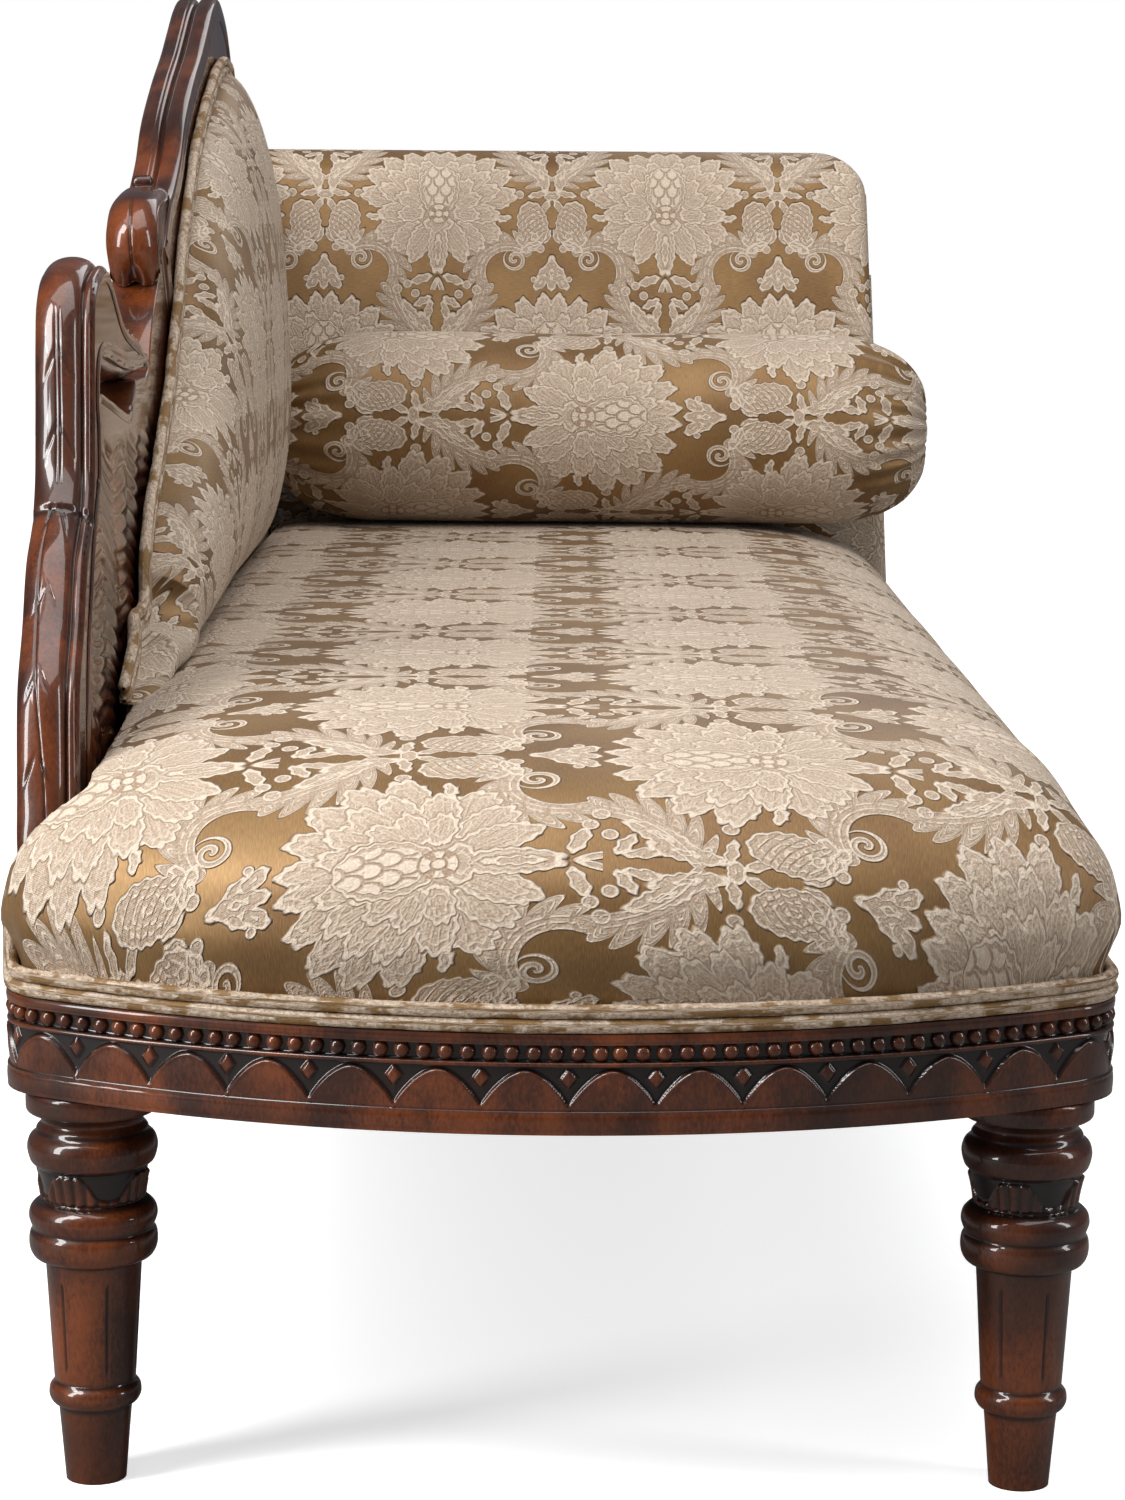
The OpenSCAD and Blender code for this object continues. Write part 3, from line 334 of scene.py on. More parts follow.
# Damask
# One repeat of the pattern, in millimetres; medallions lie half a repeat apart in turn.
# A shape is a number: about the millimetres inside its edge. A shade is 0 (seam) to 1 (rim).
REPEAT_H, REPEAT_V = 255.0, 370.0
SCALE_W, SCALE_H = 7.5, 11.0


def oval(x, y, cx, cy, rx, ry, turn=0.0):
    """A turned ellipse."""
    c, s = math.cos(math.radians(turn)), math.sin(math.radians(turn))
    u = x.times_plus(c / rx, y.times_plus(s / rx, -(cx * c + cy * s) / rx))
    v = y.times_plus(c / ry, x.times_plus(-s / ry, -(cy * c - cx * s) / ry))
    return distance(u, v).times_plus(-min(rx, ry), min(rx, ry))


def union(shapes):
    total = shapes[0]
    for s in shapes[1:]:
        total = total.max(s)
    return total


def ovals(x, y, *rows):
    return union([oval(x, y, *row) for row in rows])


def petals(x, y, *rows):
    """Petals (angle, reach, width) from the flower's centre, each widest near its tip."""
    found = []
    for angle, reach, width in rows:
        a, half = math.radians(angle), reach * 0.34
        mid = reach - half
        found.append((mid * math.cos(a), -6.0 + mid * math.sin(a), half, width, angle))
    return ovals(x, y, *found)


def shade(f):
    """Dark seam, bright rim, then duller with more lines along the rim."""
    line = f.times_plus(1.35, -1.7).cos().ramp(0.1, 0.9)
    return f.ramp(0.0, 0.7) * line.times_plus(0.72, 0.28)


def petal_shade(f, vein):
    """Dark seam and bright rim, then veins that run out to the tips."""
    rim = 1 - (f - 1.6).abs().ramp(0.6, 1.5)
    echo = (1 - (f - 5.2).abs().ramp(0.3, 1.2)) * 0.75
    return f.ramp(0.0, 0.7) * vein.times_plus(0.30, 0.22).max(rim).max(echo)


def laid(under, cover, drawn):
    """One drawing over another, where cover is 1."""
    return under.times_plus(1 - cover, drawn * cover)


def over(under, f, drawn):
    """Lays the drawing of a shape over what is drawn already."""
    return laid(under, f.ramp(-0.7, 0.2), drawn)


def frond(x, y, cx, cy, radius, a0, a1, width, pitch, lean=0.0):
    """A leafy band along an arc, lobed on its outer side; (shape, veins)."""
    dx, dy = x - cx, y - cy
    c, s = math.cos(math.radians(lean)), math.sin(math.radians(lean))
    a = dy.times_plus(c, dx * -s).angle(dx.times_plus(c, dy * s))
    mid, half = math.radians((a0 + a1) / 2 - lean), math.radians(abs(a1 - a0) / 2)
    t = (a - mid) * (1 / half)
    taper = (1 - t * t).max(0.0).sqrt()
    d = distance(dx, dy) - radius
    lobes = (a * (radius * math.pi / pitch) + d * 0.20).sin().abs()
    edge = (lobes * 0.6 + 0.4) * taper * width
    body = (edge - d).min(d + taper * (width * 0.4)) - (1 - taper.ramp(0.0, 0.25)) * 5
    return body, lobes.ramp(0.1, 0.5).max(1 - d.ramp(-1.0, 2.0))


def heart(x0, y0, x, y, draw):
    """Scales on the flower's heart and a ring of berries, laid over the drawing."""
    tier = (y0 * (1 / SCALE_H)).floor()
    across = (x0 + tier * SCALE_W).wrap(SCALE_W) * (1 / SCALE_W)
    up = y0.times_plus(1 / SCALE_H, -tier) - 0.15
    scales = ((distance(across, up) - 0.84).abs() * 2.0).ramp(0.08, 0.42)
    draw = laid(draw, oval(x, y, 0, -35, 17, 27).ramp(0.0, 1.0), scales.times_plus(0.85, 0.1))
    ring = distance(x0, y0 + 2)
    bead = ((y0 + 2).angle(x0) * 5).cos().ramp(-0.4, 0.3) * (1 - (ring - 8).abs().ramp(2.4, 3.2))
    return laid(draw, ring.ramp(13.0, 11.5), bead.max(1 - ring.ramp(3.0, 4.4)))


def medallion(x0, y0, x, y):
    """Rings of petals that end in lobes, a tulip above and the heart's cuff; (shape, shade)."""
    angle, reach = (y0 + 6).angle(x0), distance(x0, y0 + 6)
    beat = (angle * 24 + (reach * 0.13).sin() * 0.7).sin().abs()
    swell = (1 - beat).times_plus(0.045, 1.0)
    fx, fy = x * swell, (y + 6).times_plus(swell, -6.0)
    fine = (angle * 72 + reach * 0.25).sin().ramp(0.2, 0.9)
    vein = beat.ramp(0.08, 0.40) * fine.times_plus(0.75, 0.55)
    back = petals(fx, fy, (-84, 92, 12), (-67, 93, 14), (-49, 96, 15), (-31, 96, 15),
                  (-13, 92, 15), (24, 78, 16)).max(oval(x, y, 0, 0, 62, 44))
    mid = petals(fx, fy, (-76, 70, 11), (-58, 74, 12), (-40, 76, 12), (-22, 75, 12),
                 (42, 70, 14), (4, 70, 13)).max(oval(fx, fy, 74, 3, 9, 5, -10))
    near = petals(fx, fy, (-66, 52, 9), (-44, 54, 10), (-20, 52, 10), (8, 48, 10))
    tulip = oval(fx, fy, 20, 30, 28, 13, 66).max(oval(x, y, 27, 50, 8, 6, 30))
    bowl = oval(fx, fy, 0, 38, 12, 33).max(oval(x, y, 0, 10, 18, 10))
    cuff = oval(x, y, 0, -32, 23, 31)
    draw = petal_shade(back, vein)
    for part in (mid, near, tulip, bowl):
        draw = over(draw, part, petal_shade(part, vein))
    for part in (oval(x, y, 0, 40, 4.5, 20), cuff):
        draw = over(draw, part, shade(part))
    return union([back, mid, tulip, bowl, cuff]), draw


def column(c0, y0, c, y):
    """Between two medallions: finial, feathers, waist and skirt; (shape, shade)."""
    leaves = ovals(c, y, (0, 67, 8, 22), (12, 77, 6.5, 12, -38), (10, 65, 4.5, 10, -38),
                   (21, 33, 9, 6), (5, 24, 4, 10, -20),
                   (0, -23, 10, 6), (16, -25, 13, 4.4, 10), (8, -10, 4.6, 13, -30),
                   (12, -50, 8, 25, 14), (26, -64, 8, 26, 30), (16, -84, 12, 5, 30),
                   (9, -74, 5, 14, -10))
    berries = ovals(c0, y0, (20, 74, 4, 4), (13, 38, 5.5, 5.5), (30, 39, 5, 5),
                    (37, -25, 5.5, 5.5))
    shapes = leaves.max(berries)
    feather = ovals(c, y, (22, 9, 18, 27, 12), (31, 28, 10, 8))
    comb = (distance(c0 + 6, y0 - 44) * 0.62).sin().abs().ramp(0.12, 0.6)
    draw = over(shade(shapes), feather, shade(feather))
    return shapes.max(feather), draw * (1 - feather.ramp(1.5, 2.5) * (1 - comb))


def scrolls(x0, y0, c0):
    """Fronds from the waist outwards and on in the row below; (shape, shade)."""
    parts = [frond(c0, y0, -5, -98, 54, -16, 86, 25, 14), frond(x0, y0, -5, 87, 54, -16, 86, 25, 14),
             frond(x0, y0, 76, 63, 29, 122, 330, 22, 13, 220)]
    veins = parts[0][1].min(parts[1][1]).min(parts[2][1])
    shapes = union([shape for shape, _ in parts])
    return shapes, shade(shapes) * veins.times_plus(0.6, 0.4)


def sprigs(x0, y0, c0, x, y):
    """Spiral curls, small leaves and berries under the tulip."""
    dx, dy = x0 - 86, y0 - 51
    out = distance(dx, dy)
    winding = out - dy.angle(dx) * (9.0 / (2 * math.pi))
    curl = (2.9 - winding.wrap(4.5).abs()).min(13.5 - out)
    leaves = ovals(x, y, (18, 75, 14, 5.6, 22), (104, 36, 15, 6, -24))
    berries = ovals(x0, y0, (33, 81, 5.5, 5.5), (4, 84, 3.6, 14, -18), (44, 87, 6, 6),
                    (24, 92, 5.5, 5.5), (108, 24, 5, 5))
    lower = ovals(c0, y0, (44, -98, 6, 6), (24, -93, 5.5, 5.5))
    return union([curl, leaves, berries, lower])


def damask(px, py):
    """Place on the fabric in millimetres to (motif, shade), both 0 to 1."""
    row = ((py + 97) * (2 / REPEAT_V)).floor()
    y0 = py - row * (REPEAT_V / 2)
    x0 = (px + row * (REPEAT_H / 2)).wrap(REPEAT_H / 2).abs()
    c0 = REPEAT_H / 2 - x0
    # small serrations on the edges of leaves and petals
    x = x0 + (y0 * 0.70 + x0 * 0.30).sin() * 0.7
    y = y0 + (x0 * 0.66 - y0 * 0.27).sin() * 0.7
    flower, draw = medallion(x0, y0, x, y)
    draw = heart(x0, y0, x, y, draw)
    columns, column_draw = column(c0, y0, REPEAT_H / 2 - x, y)
    fronds, frond_draw = scrolls(x0, y0, c0)
    small = sprigs(x0, y0, c0, x, y)
    rest = frond_draw.max(column_draw).max(shade(small))
    motif = union([flower, columns, fronds, small])
    return motif.ramp(-0.3, 0.5), laid(rest, flower.ramp(-0.6, 0.2), draw)


def damask_group():
    """Node group: place on the fabric in metres to motif and shade."""
    tree = bpy.data.node_groups.new("damask_pattern", "ShaderNodeTree")
    for name, way in (("x", "INPUT"), ("y", "INPUT"), ("motif", "OUTPUT"), ("shade", "OUTPUT")):
        tree.interface.new_socket(name, in_out=way, socket_type="NodeSocketFloat")
    inputs = tree.nodes.new("NodeGroupInput").outputs
    outputs = tree.nodes.new("NodeGroupOutput").inputs
    found = damask(Expr(tree, inputs[0]) * 1000, Expr(tree, inputs[1]) * 1000)
    for value, socket in zip(found, outputs):
        plug(tree, value, socket)
    return tree


DAMASK = damask_group()
GOLD_DARK, GOLD_LIGHT = (0.150, 0.076, 0.028), (0.300, 0.178, 0.070)
CREAM, CREAM_DARK, THREAD = (0.66, 0.55, 0.437), (0.30, 0.198, 0.122), (0.84, 0.765, 0.66)


def damask_material(name, origin=(0.0, 0.0), scale=(1.0, 1.0)):
    """Satin ground with a raised matt motif; 'cloth' holds the place on the fabric."""
    material, tree, shader = new_material(name, specular=0.35, sheen=0.1, sheen_rough=0.4)
    cloth = attribute(tree, "cloth", "Vector")
    across, up = split_xy(tree, cloth)
    drift = noise(tree, cloth, 7.0, 1.0).times_plus(0.006, -0.003)
    x = (across - origin[0]).times_plus(scale[0], drift)
    y = (up - origin[1]).times_plus(scale[1], drift)
    pattern = add_node(tree, "Group", enumerate((x, y)), node_tree=DAMASK)
    motif, lines = Expr(tree, pattern.outputs[0]), Expr(tree, pattern.outputs[1])
    # twill of the motif, long floats of the satin ground, slubs in both
    twill = ((x + y) * 4600).sin().times_plus(0.5, 0.5)
    cloudy = noise(tree, cloth, 11.0).ramp(0.3, 0.7)
    thread = noise(tree, cloth, 620.0)
    streak = noise(tree, stretched(tree, cloth, (160, 1500, 1)), 1.0)
    ground = mix_color(tree, cloudy.times_plus(0.5, streak.ramp(0.3, 0.75) * 0.5), GOLD_DARK,
                       GOLD_LIGHT)
    raised = mix_color(tree, lines.times_plus(0.85, twill * 0.15).clamp(), CREAM_DARK, CREAM)
    raised = mix_color(tree, thread.ramp(0.5, 0.75) * 0.45, raised, THREAD)
    raised = mix_color(tree, thread.ramp(0.5, 0.25) * 0.25, raised, CREAM_DARK)
    for key, value in (("Base Color", mix_color(tree, motif, ground, raised)),
                       ("Roughness", motif.times_plus(0.30, 0.44)),
                       ("Metallic", motif.times_plus(-0.4, 0.4))):
        plug(tree, value, shader.inputs[key])
    pucker = noise(tree, cloth, 230.0)
    crinkle = motif * (lines * 0.7 + twill * 0.12 + thread * 0.7 + pucker * 1.1)
    add_bump(tree, shader, motif.times_plus(0.5, crinkle) + (1 - motif) * streak * 0.12, 0.0013)
    return material


def welt_material():
    """The same fabric cut small round the cords: patches of motif and ground."""
    material, tree, shader = new_material("damask_welt", rough=0.65, specular=0.3)
    cloth = attribute(tree, "cloth", "Vector")
    patches = noise(tree, cloth, 42.0, 3.0, 0.6).ramp(0.42, 0.52)
    thread = noise(tree, cloth, 700.0)
    coarse = noise(tree, cloth, 260.0)
    motif = mix_color(tree, thread.times_plus(0.5, coarse * 0.6).ramp(0.35, 0.75), CREAM_DARK, CREAM)
    ground = mix_color(tree, thread, GOLD_DARK, GOLD_LIGHT)
    plug(tree, mix_color(tree, patches, ground, motif), shader.inputs["Base Color"])
    add_bump(tree, shader, patches * 0.4 + thread * 0.5 + coarse * 0.8, 0.0009)
    return material


# Wood and the rest
def mahogany_material():
    """Polished red-brown wood, with painted shade in the hollows of the carving from a point
    attribute.
    """
    material, tree, shader = new_material("mahogany", rough=0.38, specular=0.25, coat=0.9,
                                          coat_rough=0.06)
    place = object_place(tree)
    fibre = stretched(tree, place, (9.0, 9.0, 4.0))
    grain = noise(tree, fibre, 3.0, 4.0) * 0.65 + noise(tree, fibre, 60.0, 4.0, 0.65) * 0.35
    wood = mix_color(tree, grain.ramp(0.36, 0.68), (0.030, 0.0066, 0.0024), (0.185, 0.043, 0.0085))
    patina = noise(tree, place, 9.0).ramp(0.42, 0.66) * 0.65
    wood = mix_color(tree, patina, wood, (0.020, 0.0060, 0.0028))
    # painted shade: the hollows of the carving are darkened to near black
    hollow_shade = Expr(tree, attribute(tree, "painted_shade", "Fac")).clamp()
    wood = mix_color(tree, hollow_shade, wood, (0.004, 0.002, 0.0015))
    plug(tree, wood, shader.inputs["Base Color"])
    add_bump(tree, shader, noise(tree, place, 45.0) * 0.6 + grain * 0.4, 0.0006, 0.6)
    return material


def grained_material(name, dark, light, scale, rough, stretch=(1, 1, 1), metallic=0.0):
    """Two colours mixed by a noise, with a slight relief."""
    material, tree, shader = new_material(name, rough=rough, metallic=metallic)
    grain = noise(tree, stretched(tree, object_place(tree), stretch), scale, 4.0, 0.6)
    plug(tree, mix_color(tree, grain.ramp(0.35, 0.7), dark, light), shader.inputs["Base Color"])
    add_bump(tree, shader, grain, 0.0005, 0.5)
    return material


MATERIALS = {
    "mahogany": mahogany_material(),
    "frame_wood": grained_material("frame_wood", (0.30, 0.18, 0.08), (0.55, 0.38, 0.2), 12, 0.6,
                                   (1, 8, 8)),
    "steel": grained_material("steel", (0.3, 0.3, 0.3), (0.5, 0.5, 0.5), 90, 0.35, metallic=1.0),
    "sacking": grained_material("sacking", (0.28, 0.19, 0.1), (0.5, 0.38, 0.24), 400, 0.9),
    "stuffing": grained_material("stuffing", (0.6, 0.52, 0.4), (0.8, 0.74, 0.62), 60, 0.95),
    "lining": grained_material("lining", (0.012, 0.012, 0.012), (0.03, 0.03, 0.03), 500, 0.9),
    "damask": damask_material("damask_plain"),
}
WELT = welt_material()


def paint_cad_nodes():
    """Gives each CAD node the material of its slot."""
    slots = {s["node"]: s["material_slot"] for s in frame["record"]["subparts"]}
    for name, obj in frame["nodes"].items():
        for slot in obj.material_slots:
            slot.material = MATERIALS[slots[name]]


# Seat
def plan_line(d, n_bow, n_corner, y_head, n_side):
    """(x, y, outward x, outward y) round the seat, from head left to head right, d inside."""
    low, high = math.pi + CORNER_TURN, 2 * math.pi - CORNER_TURN
    rows = [(-RAIL_W + d, y, -1, 0) for y in np.linspace(y_head, CORNER_Y, n_side, endpoint=False)]
    for cx, cy, r, a0, a1, n in ((-CORNER_X, CORNER_Y, CORNER_R, math.pi, low, n_corner),
                                 (0, BOW_Y, BOW_R, low, high, n_bow),
                                 (CORNER_X, CORNER_Y, CORNER_R, high, 2 * math.pi, n_corner)):
        for a in np.linspace(a0, a1, n, endpoint=False):
            c, s = math.cos(a), math.sin(a)
            rows.append((cx + (r - d) * c, cy + (r - d) * s, c, s))
    rows += [(RAIL_W - d, y, 1, 0) for y in np.linspace(CORNER_Y, y_head, n_side)]
    return np.array(rows)


TOP_ROWS, SIDE_STRETCH = 14, 0.35
# height as a share of the cushion's, millimetres inside the rail, and towards the middle
SEAT_PROFILE = [[-0.12, 6.7, 0], [-0.013, 6.7, 0], [0.03, 4.5, 0], [0.166, -2, 0], [0.302, 0, 0],
                [0.438, 3, 3], [0.566, 8, 11], [0.694, 8, 32], [0.8, 8, 59], [0.89, 8, 104],
                [0.966, 8, 177], [1.0, 8, 254]]


def seat_surface(base):
    """Cover from the welt up and over to the middle line, and its place on the fabric."""
    profile = smooth_curve(np.array(SEAT_PROFILE) * [SEAT_HEIGHT * 1000, 1, 1], 7.0) / 1000
    height, inside, to_middle = profile.T
    edge, out = base[:, None, :2], base[:, None, 2:]
    middle = np.stack([0 * edge[..., 0], np.maximum(edge[..., 1], -0.5)], axis=-1)
    towards = middle - edge
    towards = towards / np.linalg.norm(towards, axis=-1, keepdims=True)
    y = base[:, 1:2]
    fullness = np.where(base[:, :1] > 0, np.interp(y, [CORNER_Y, along(120)], [1, 0.6]),
                        np.interp(y, [CORNER_Y, along(200), along(450)], [1, 0.5, 0.25]))
    side = edge - out * inside[:, None] + towards * (to_middle * fullness)[..., None]
    rank = np.arange(1, TOP_ROWS + 1)
    top = side[:, -1:] + (middle - side[:, -1:]) * rank[:, None] / TOP_ROWS
    crown = 0.0015 * np.sin(math.pi / 2 * rank / TOP_ROWS)
    z = RAIL_TOP + np.concatenate([height, height[-1] + crown])
    flat = np.concatenate([side, top], axis=1)
    p = np.concatenate([flat, np.broadcast_to(z[:, None], (*flat.shape[:2], 1))], axis=-1)
    # the cover is drawn tight over the sides: the pattern is closer there
    steps = np.linalg.norm(np.diff(p, axis=1), axis=-1)
    steps = steps + SIDE_STRETCH * np.abs(np.diff(p[..., 2], axis=1))
    run = np.cumsum(steps[:, ::-1], axis=1)[:, ::-1]
    run = np.concatenate([run, np.zeros((len(p), 1))], axis=1)[..., None]
    sideways = towards ** 2
    cloth = flat * (1 - sideways) + (middle * [0, 1] - towards * run) * sideways
    return p, cloth[..., ::-1]


def make_seat():
    base = plan_line(0, 90, 22, 0.72, 150)
    p, cloth = seat_surface(base)
    # small puckers above the welt at the round corners, and a slightly uneven surface
    x, y, z = np.moveaxis(p, -1, 0)
    turn = np.arctan2(x, -(y + 0.5))
    pucker = 0.0011 * bump(np.abs(turn), 0.78, 0.22) * bump(z, 0.325, 0.03) * np.sin(turn * 95)
    uneven = 0.0009 * ripple(x * 22, y * 17, 3) * step_up(z, 0.325, 0.36)
    on_top = step_up(z, 0.36, 0.43)
    p[..., :2] += base[:, None, 2:] * ((pucker + uneven) * (1 - on_top))[..., None]
    p[..., 2] += uneven * on_top
    # the cushion stops at the post, the back and the headrest
    x, y, z = np.moveaxis(p, -1, 0)
    wall = np.interp(y, [-0.794, -0.788, -0.782, -0.7775, -0.773],
                     [-0.34, -0.326, -0.306, -0.280, -0.2745])
    p[..., 0] = np.maximum(x, wall)
    p[..., 1] = np.minimum(y, front_y(z) - 0.0075)
    add_pad("seat_cushion", p, grid_faces(*p.shape[:2], flip=True), cloth, (-0.536, 0.121),
            (1.02, 0.99), ("seat_cover", "seat_foam"))


def welt_tube(name, lines, replaces, seed, r=0.0041, sides=12):
    """Cords of a double welt: each line is (centres, outward directions)."""
    verts, faces, cloth = [], [], []
    start = 0
    for k, (centres, outs) in enumerate(lines):
        run = lengths(centres)
        radii = r * (1 + 0.07 * ripple(run * 160, run * 37, seed + k))
        wander = 0.00035 * ripple(run * 55, run * 90, seed + 7 + k)
        pts = tube(centres + outs * wander[:, None], outs, radii, sides)
        for end in (0, -1):
            pts[end] = centres[end] + (pts[end] - centres[end]) * 0.3
        verts.append(pts.reshape(-1, 3))
        faces.append(grid_faces(len(centres), sides, close_cols=True, start=start))
        places = np.broadcast_arrays(run[:, None] + 0.03 * k, turns(sides) * r * 1.5 + 0.11 * k)
        cloth.append(np.stack(places, -1).reshape(-1, 2))
        start += len(verts[-1])
    add_mesh(name, np.vstack(verts), np.vstack(faces), WELT, replaces=replaces,
             cloth=np.vstack(cloth))


def welt_start(z, start, inset):
    """The cord comes down beside the post and turns into its line on the corner."""
    centre = np.array([-CORNER_X, CORNER_Y, z])
    pts = []
    bend = 0.007
    steps = [(0, lift) for lift in np.linspace(0.05, bend, 9)]
    steps += [((k / 5) ** 2, bend * (1 - math.sin(k / 5 * math.pi / 2))) for k in range(1, 6)]
    for turn, lift in steps:
        a = start + math.radians(8) * turn
        out = np.array([math.cos(a), math.sin(a), 0])
        pts.append((centre + (CORNER_R - inset) * out + [0, 0, lift], out))
    return pts


def make_seat_welt():
    lines = []
    inset = 0.0024
    for z, turn in ((0.2973, 190), (0.3056, 200)):
        start = math.radians(turn)
        pts = welt_start(z, start, inset)
        line = plan_line(inset, 160, 30, HEAD_Y - 0.009, 260)
        keep = np.arctan2(line[:, 3], line[:, 2]) % (2 * math.pi) > start + math.radians(9)
        keep &= line[:, 3] < -1e-6
        keep |= (line[:, 0] > 0) & (line[:, 2] > 0.999)
        pts += [(np.array([x, y, z]), np.array([ox, oy, 0])) for x, y, ox, oy in line[keep]]
        lines.append(tuple(np.array(column) for column in zip(*pts)))
    welt_tube("seat_double_welt", lines, ("seat_welt",), 11)


# Back
# station and height of the panel's border, and its crown by station
BORDER = [[236, 130], [298, 150], [313, 167], [371, 170], [385, 196], [436, 231], [491, 254],
          [542, 279], [598, 305], [629, 326], [685, 361], [731, 397], [795, 435], [833, 454],
          [868, 474], [957, 508], [1048, 535], [1096, 548], [1140, 556], [1185, 560],
          [1225, 554], [1250, 538], [1268, 510], [1290, 478], [1330, 450], [1390, 433],
          [1470, 426], [1540, 424]]
CROWN = [[205, 0.1], [260, 0.35], [330, 0.6], [450, 0.8], [700, 0.95], [1000, 1], [1150, 0.95],
         [1210, 0.8], [1270, 0.45], [1320, 0.2], [1560, 0.12]]


def inward(line, d):
    """The line moved to its inner side by d."""
    v = headings(line)
    return line + d * np.stack([v[:, 1], -v[:, 0]], axis=1)


def make_back_cushion():
    high = inward(resample(smooth_curve(BORDER, 6), 330), 15.0)
    high[:, 0] = np.maximum.accumulate(high[:, 0])
    high = high[high[:, 0] > 236]
    first, last = high[0, 0], high[-1, 0]
    floor_s = first + (high[:, 0] - first) * (1464 - first) / (last - first)
    floor_h = np.interp(floor_s, [230, 300, 450, 1552], [96, 118, 126, 132])
    low = np.stack([floor_s, np.minimum(floor_h, high[:, 1] - 3)], axis=1)
    t = (1 - np.cos(np.linspace(0, math.pi, 60))) / 2
    s, h = np.moveaxis(low[:, None] + (high - low)[:, None] * t[:, None], -1, 0)
    arch = (1 - np.abs(2 * t - 1) ** 2.6) ** 0.55
    crown = np.interp(s, *np.array(CROWN).T) * 50 + 0.7 * ripple(s / 30, h / 34, 5)
    # the outermost rows turn in to the frame
    p = np.concatenate([on_back(0.3, s[:, :1], h[:, :1] - 2), on_back(4 + crown * arch, s, h),
                        on_back(0.3, s[:, -1:], h[:, -1:] + 1)], axis=1)
    n, m = p.shape[:2]
    # place on the fabric: distances along the surface from the fullest line up and down
    steps = np.linalg.norm(np.diff(p, axis=1), axis=2)
    up = np.concatenate([np.zeros((n, 1)), np.cumsum(steps, axis=1)], axis=1)
    full = slice(m // 2, m // 2 + 1)
    cloth = np.stack([p[..., 1], up - up[:, full] + p[:, full, 2]], axis=-1)
    add_pad("back_cushion", p, grid_faces(n, m), cloth, (0.02, 0.62), (1.3, -1.3),
            ("back_cover", "back_foam"))


def make_back_welt():
    base = resample(smooth_curve(BORDER, 5), 420)
    lines = []
    for off in (4.3, 12.9):
        centres = on_back(3.65, *inward(base, off).T)
        lines.append((centres, np.broadcast_to([LEAN_C, 0, LEAN_S], centres.shape)))
    welt_tube("back_double_welt", lines, ("back_welt",), 23)


# Headrest
def head_section(off):
    """Section (y, z) of the headrest, moved inwards by off, from front bottom to rear bottom."""
    lean_c, lean_s, lean_t = math.cos(HEAD_LEAN), math.sin(HEAD_LEAN), math.tan(HEAD_LEAN)

    def arc(cy, cz, r, angles):
        return [(cy + r * math.cos(a), cz + r * math.sin(a)) for a in angles]

    t = np.linspace(0, 1, 61)
    z = RAIL_TOP + (ROLL_Z + ROLL_R * lean_s - RAIL_TOP) * t
    swell = HEAD_SWELL * np.sin(math.pi * t) - off
    pts = list(zip(front_y(z) - swell * lean_c, z + swell * lean_s))
    rear_at = HEAD_Y - COVER_IN + (ROLL_Z - RAIL_TOP) * lean_t
    reach = ROLL_R + NECK_R
    turn = math.acos(((rear_at - ROLL_Y) * lean_c + NECK_R) / reach)
    pts += arc(ROLL_Y, ROLL_Z, ROLL_R - off,
               np.linspace(math.pi - HEAD_LEAN, -HEAD_LEAN - turn, 60)[1:])
    neck = arc(ROLL_Y, ROLL_Z, reach, [-HEAD_LEAN - turn])[0]
    pts += arc(*neck, NECK_R + off,
               np.linspace(math.pi - HEAD_LEAN - turn, math.pi - HEAD_LEAN, 8)[1:])
    y1, z1 = pts[-1]
    y0 = HEAD_Y - COVER_IN - off / lean_c
    pts += [(y1 + (y0 - y1) * t, z1 + (RAIL_TOP + 0.0005 - z1) * t)
            for t in np.linspace(0, 1, 40)[1:]]
    return np.array(pts)


def head_side_x(z):
    """Open side of the headrest at height z."""
    slope = (RAIL_W - COVER_IN - HEAD_HALF_W) / (HEAD_TOP - RAIL_TOP)
    corner_z = HEAD_TOP - HEAD_CORNER_R
    over_it = np.clip(z - corner_z, 0, HEAD_CORNER_R) / HEAD_CORNER_R
    rounded = HEAD_HALF_W - HEAD_CORNER_R + HEAD_CORNER_R * dome(over_it)
    straight = HEAD_HALF_W + slope * (HEAD_TOP - z)
    return np.where(z > corner_z, rounded, straight) - HEAD_SIDE_PULL * step_up(z, 0.5, 0.68)


def make_headrest():
    # columns (share of the width, moved inwards, moved out) across, then round the open side
    edge_r, turned_in = 0.013, 0.040
    columns = [(t, 0.0, 0.0) for t in np.linspace(0, 1, 90)]
    columns += [(1.0, edge_r * (1 - math.cos(a)), edge_r * math.sin(a))
                for a in np.linspace(0, math.pi / 2, 9)[1:]]
    columns += [(1.0, off, edge_r) for off in np.linspace(edge_r, turned_in, 8)[1:]]
    base = head_section(0)
    run = lengths(base)
    right = head_side_x(base[:, 1]) - edge_r
    # pleats at the roll's side: place along the section, width, depth
    pleats = sum(depth * bump(run, at, width) for at, width, depth in (
        (0.395, 0.006, 0.0016), (0.335, 0.006, 0.0014), (0.46, 0.007, 0.001)))
    rows, cloth = [], []
    for t, off, out in columns:
        y, z = head_section(off).T
        left = -BACK_X + 0.0006 - (z - RAIL_TOP) * math.tan(BACK_LEAN)
        x = left + (right - left) * t + out
        near = 1.0 if out > 0 else max(t - 0.9, 0) / 0.1
        wave = 0.0008 * ripple(x * 25, run * 20, 9)
        y = y + (pleats * near - wave) * math.cos(HEAD_LEAN) * (run < 0.5)
        rows.append(np.stack([x, y, z], axis=1))
        cloth.append(np.stack([x + off, run], axis=1))
    add_pad("headrest_cushion", rows, grid_faces(len(rows), len(run)), cloth, (-0.125, 0.4375),
            (1.15, -1.15), ("headrest_cover", "headrest_foam"))


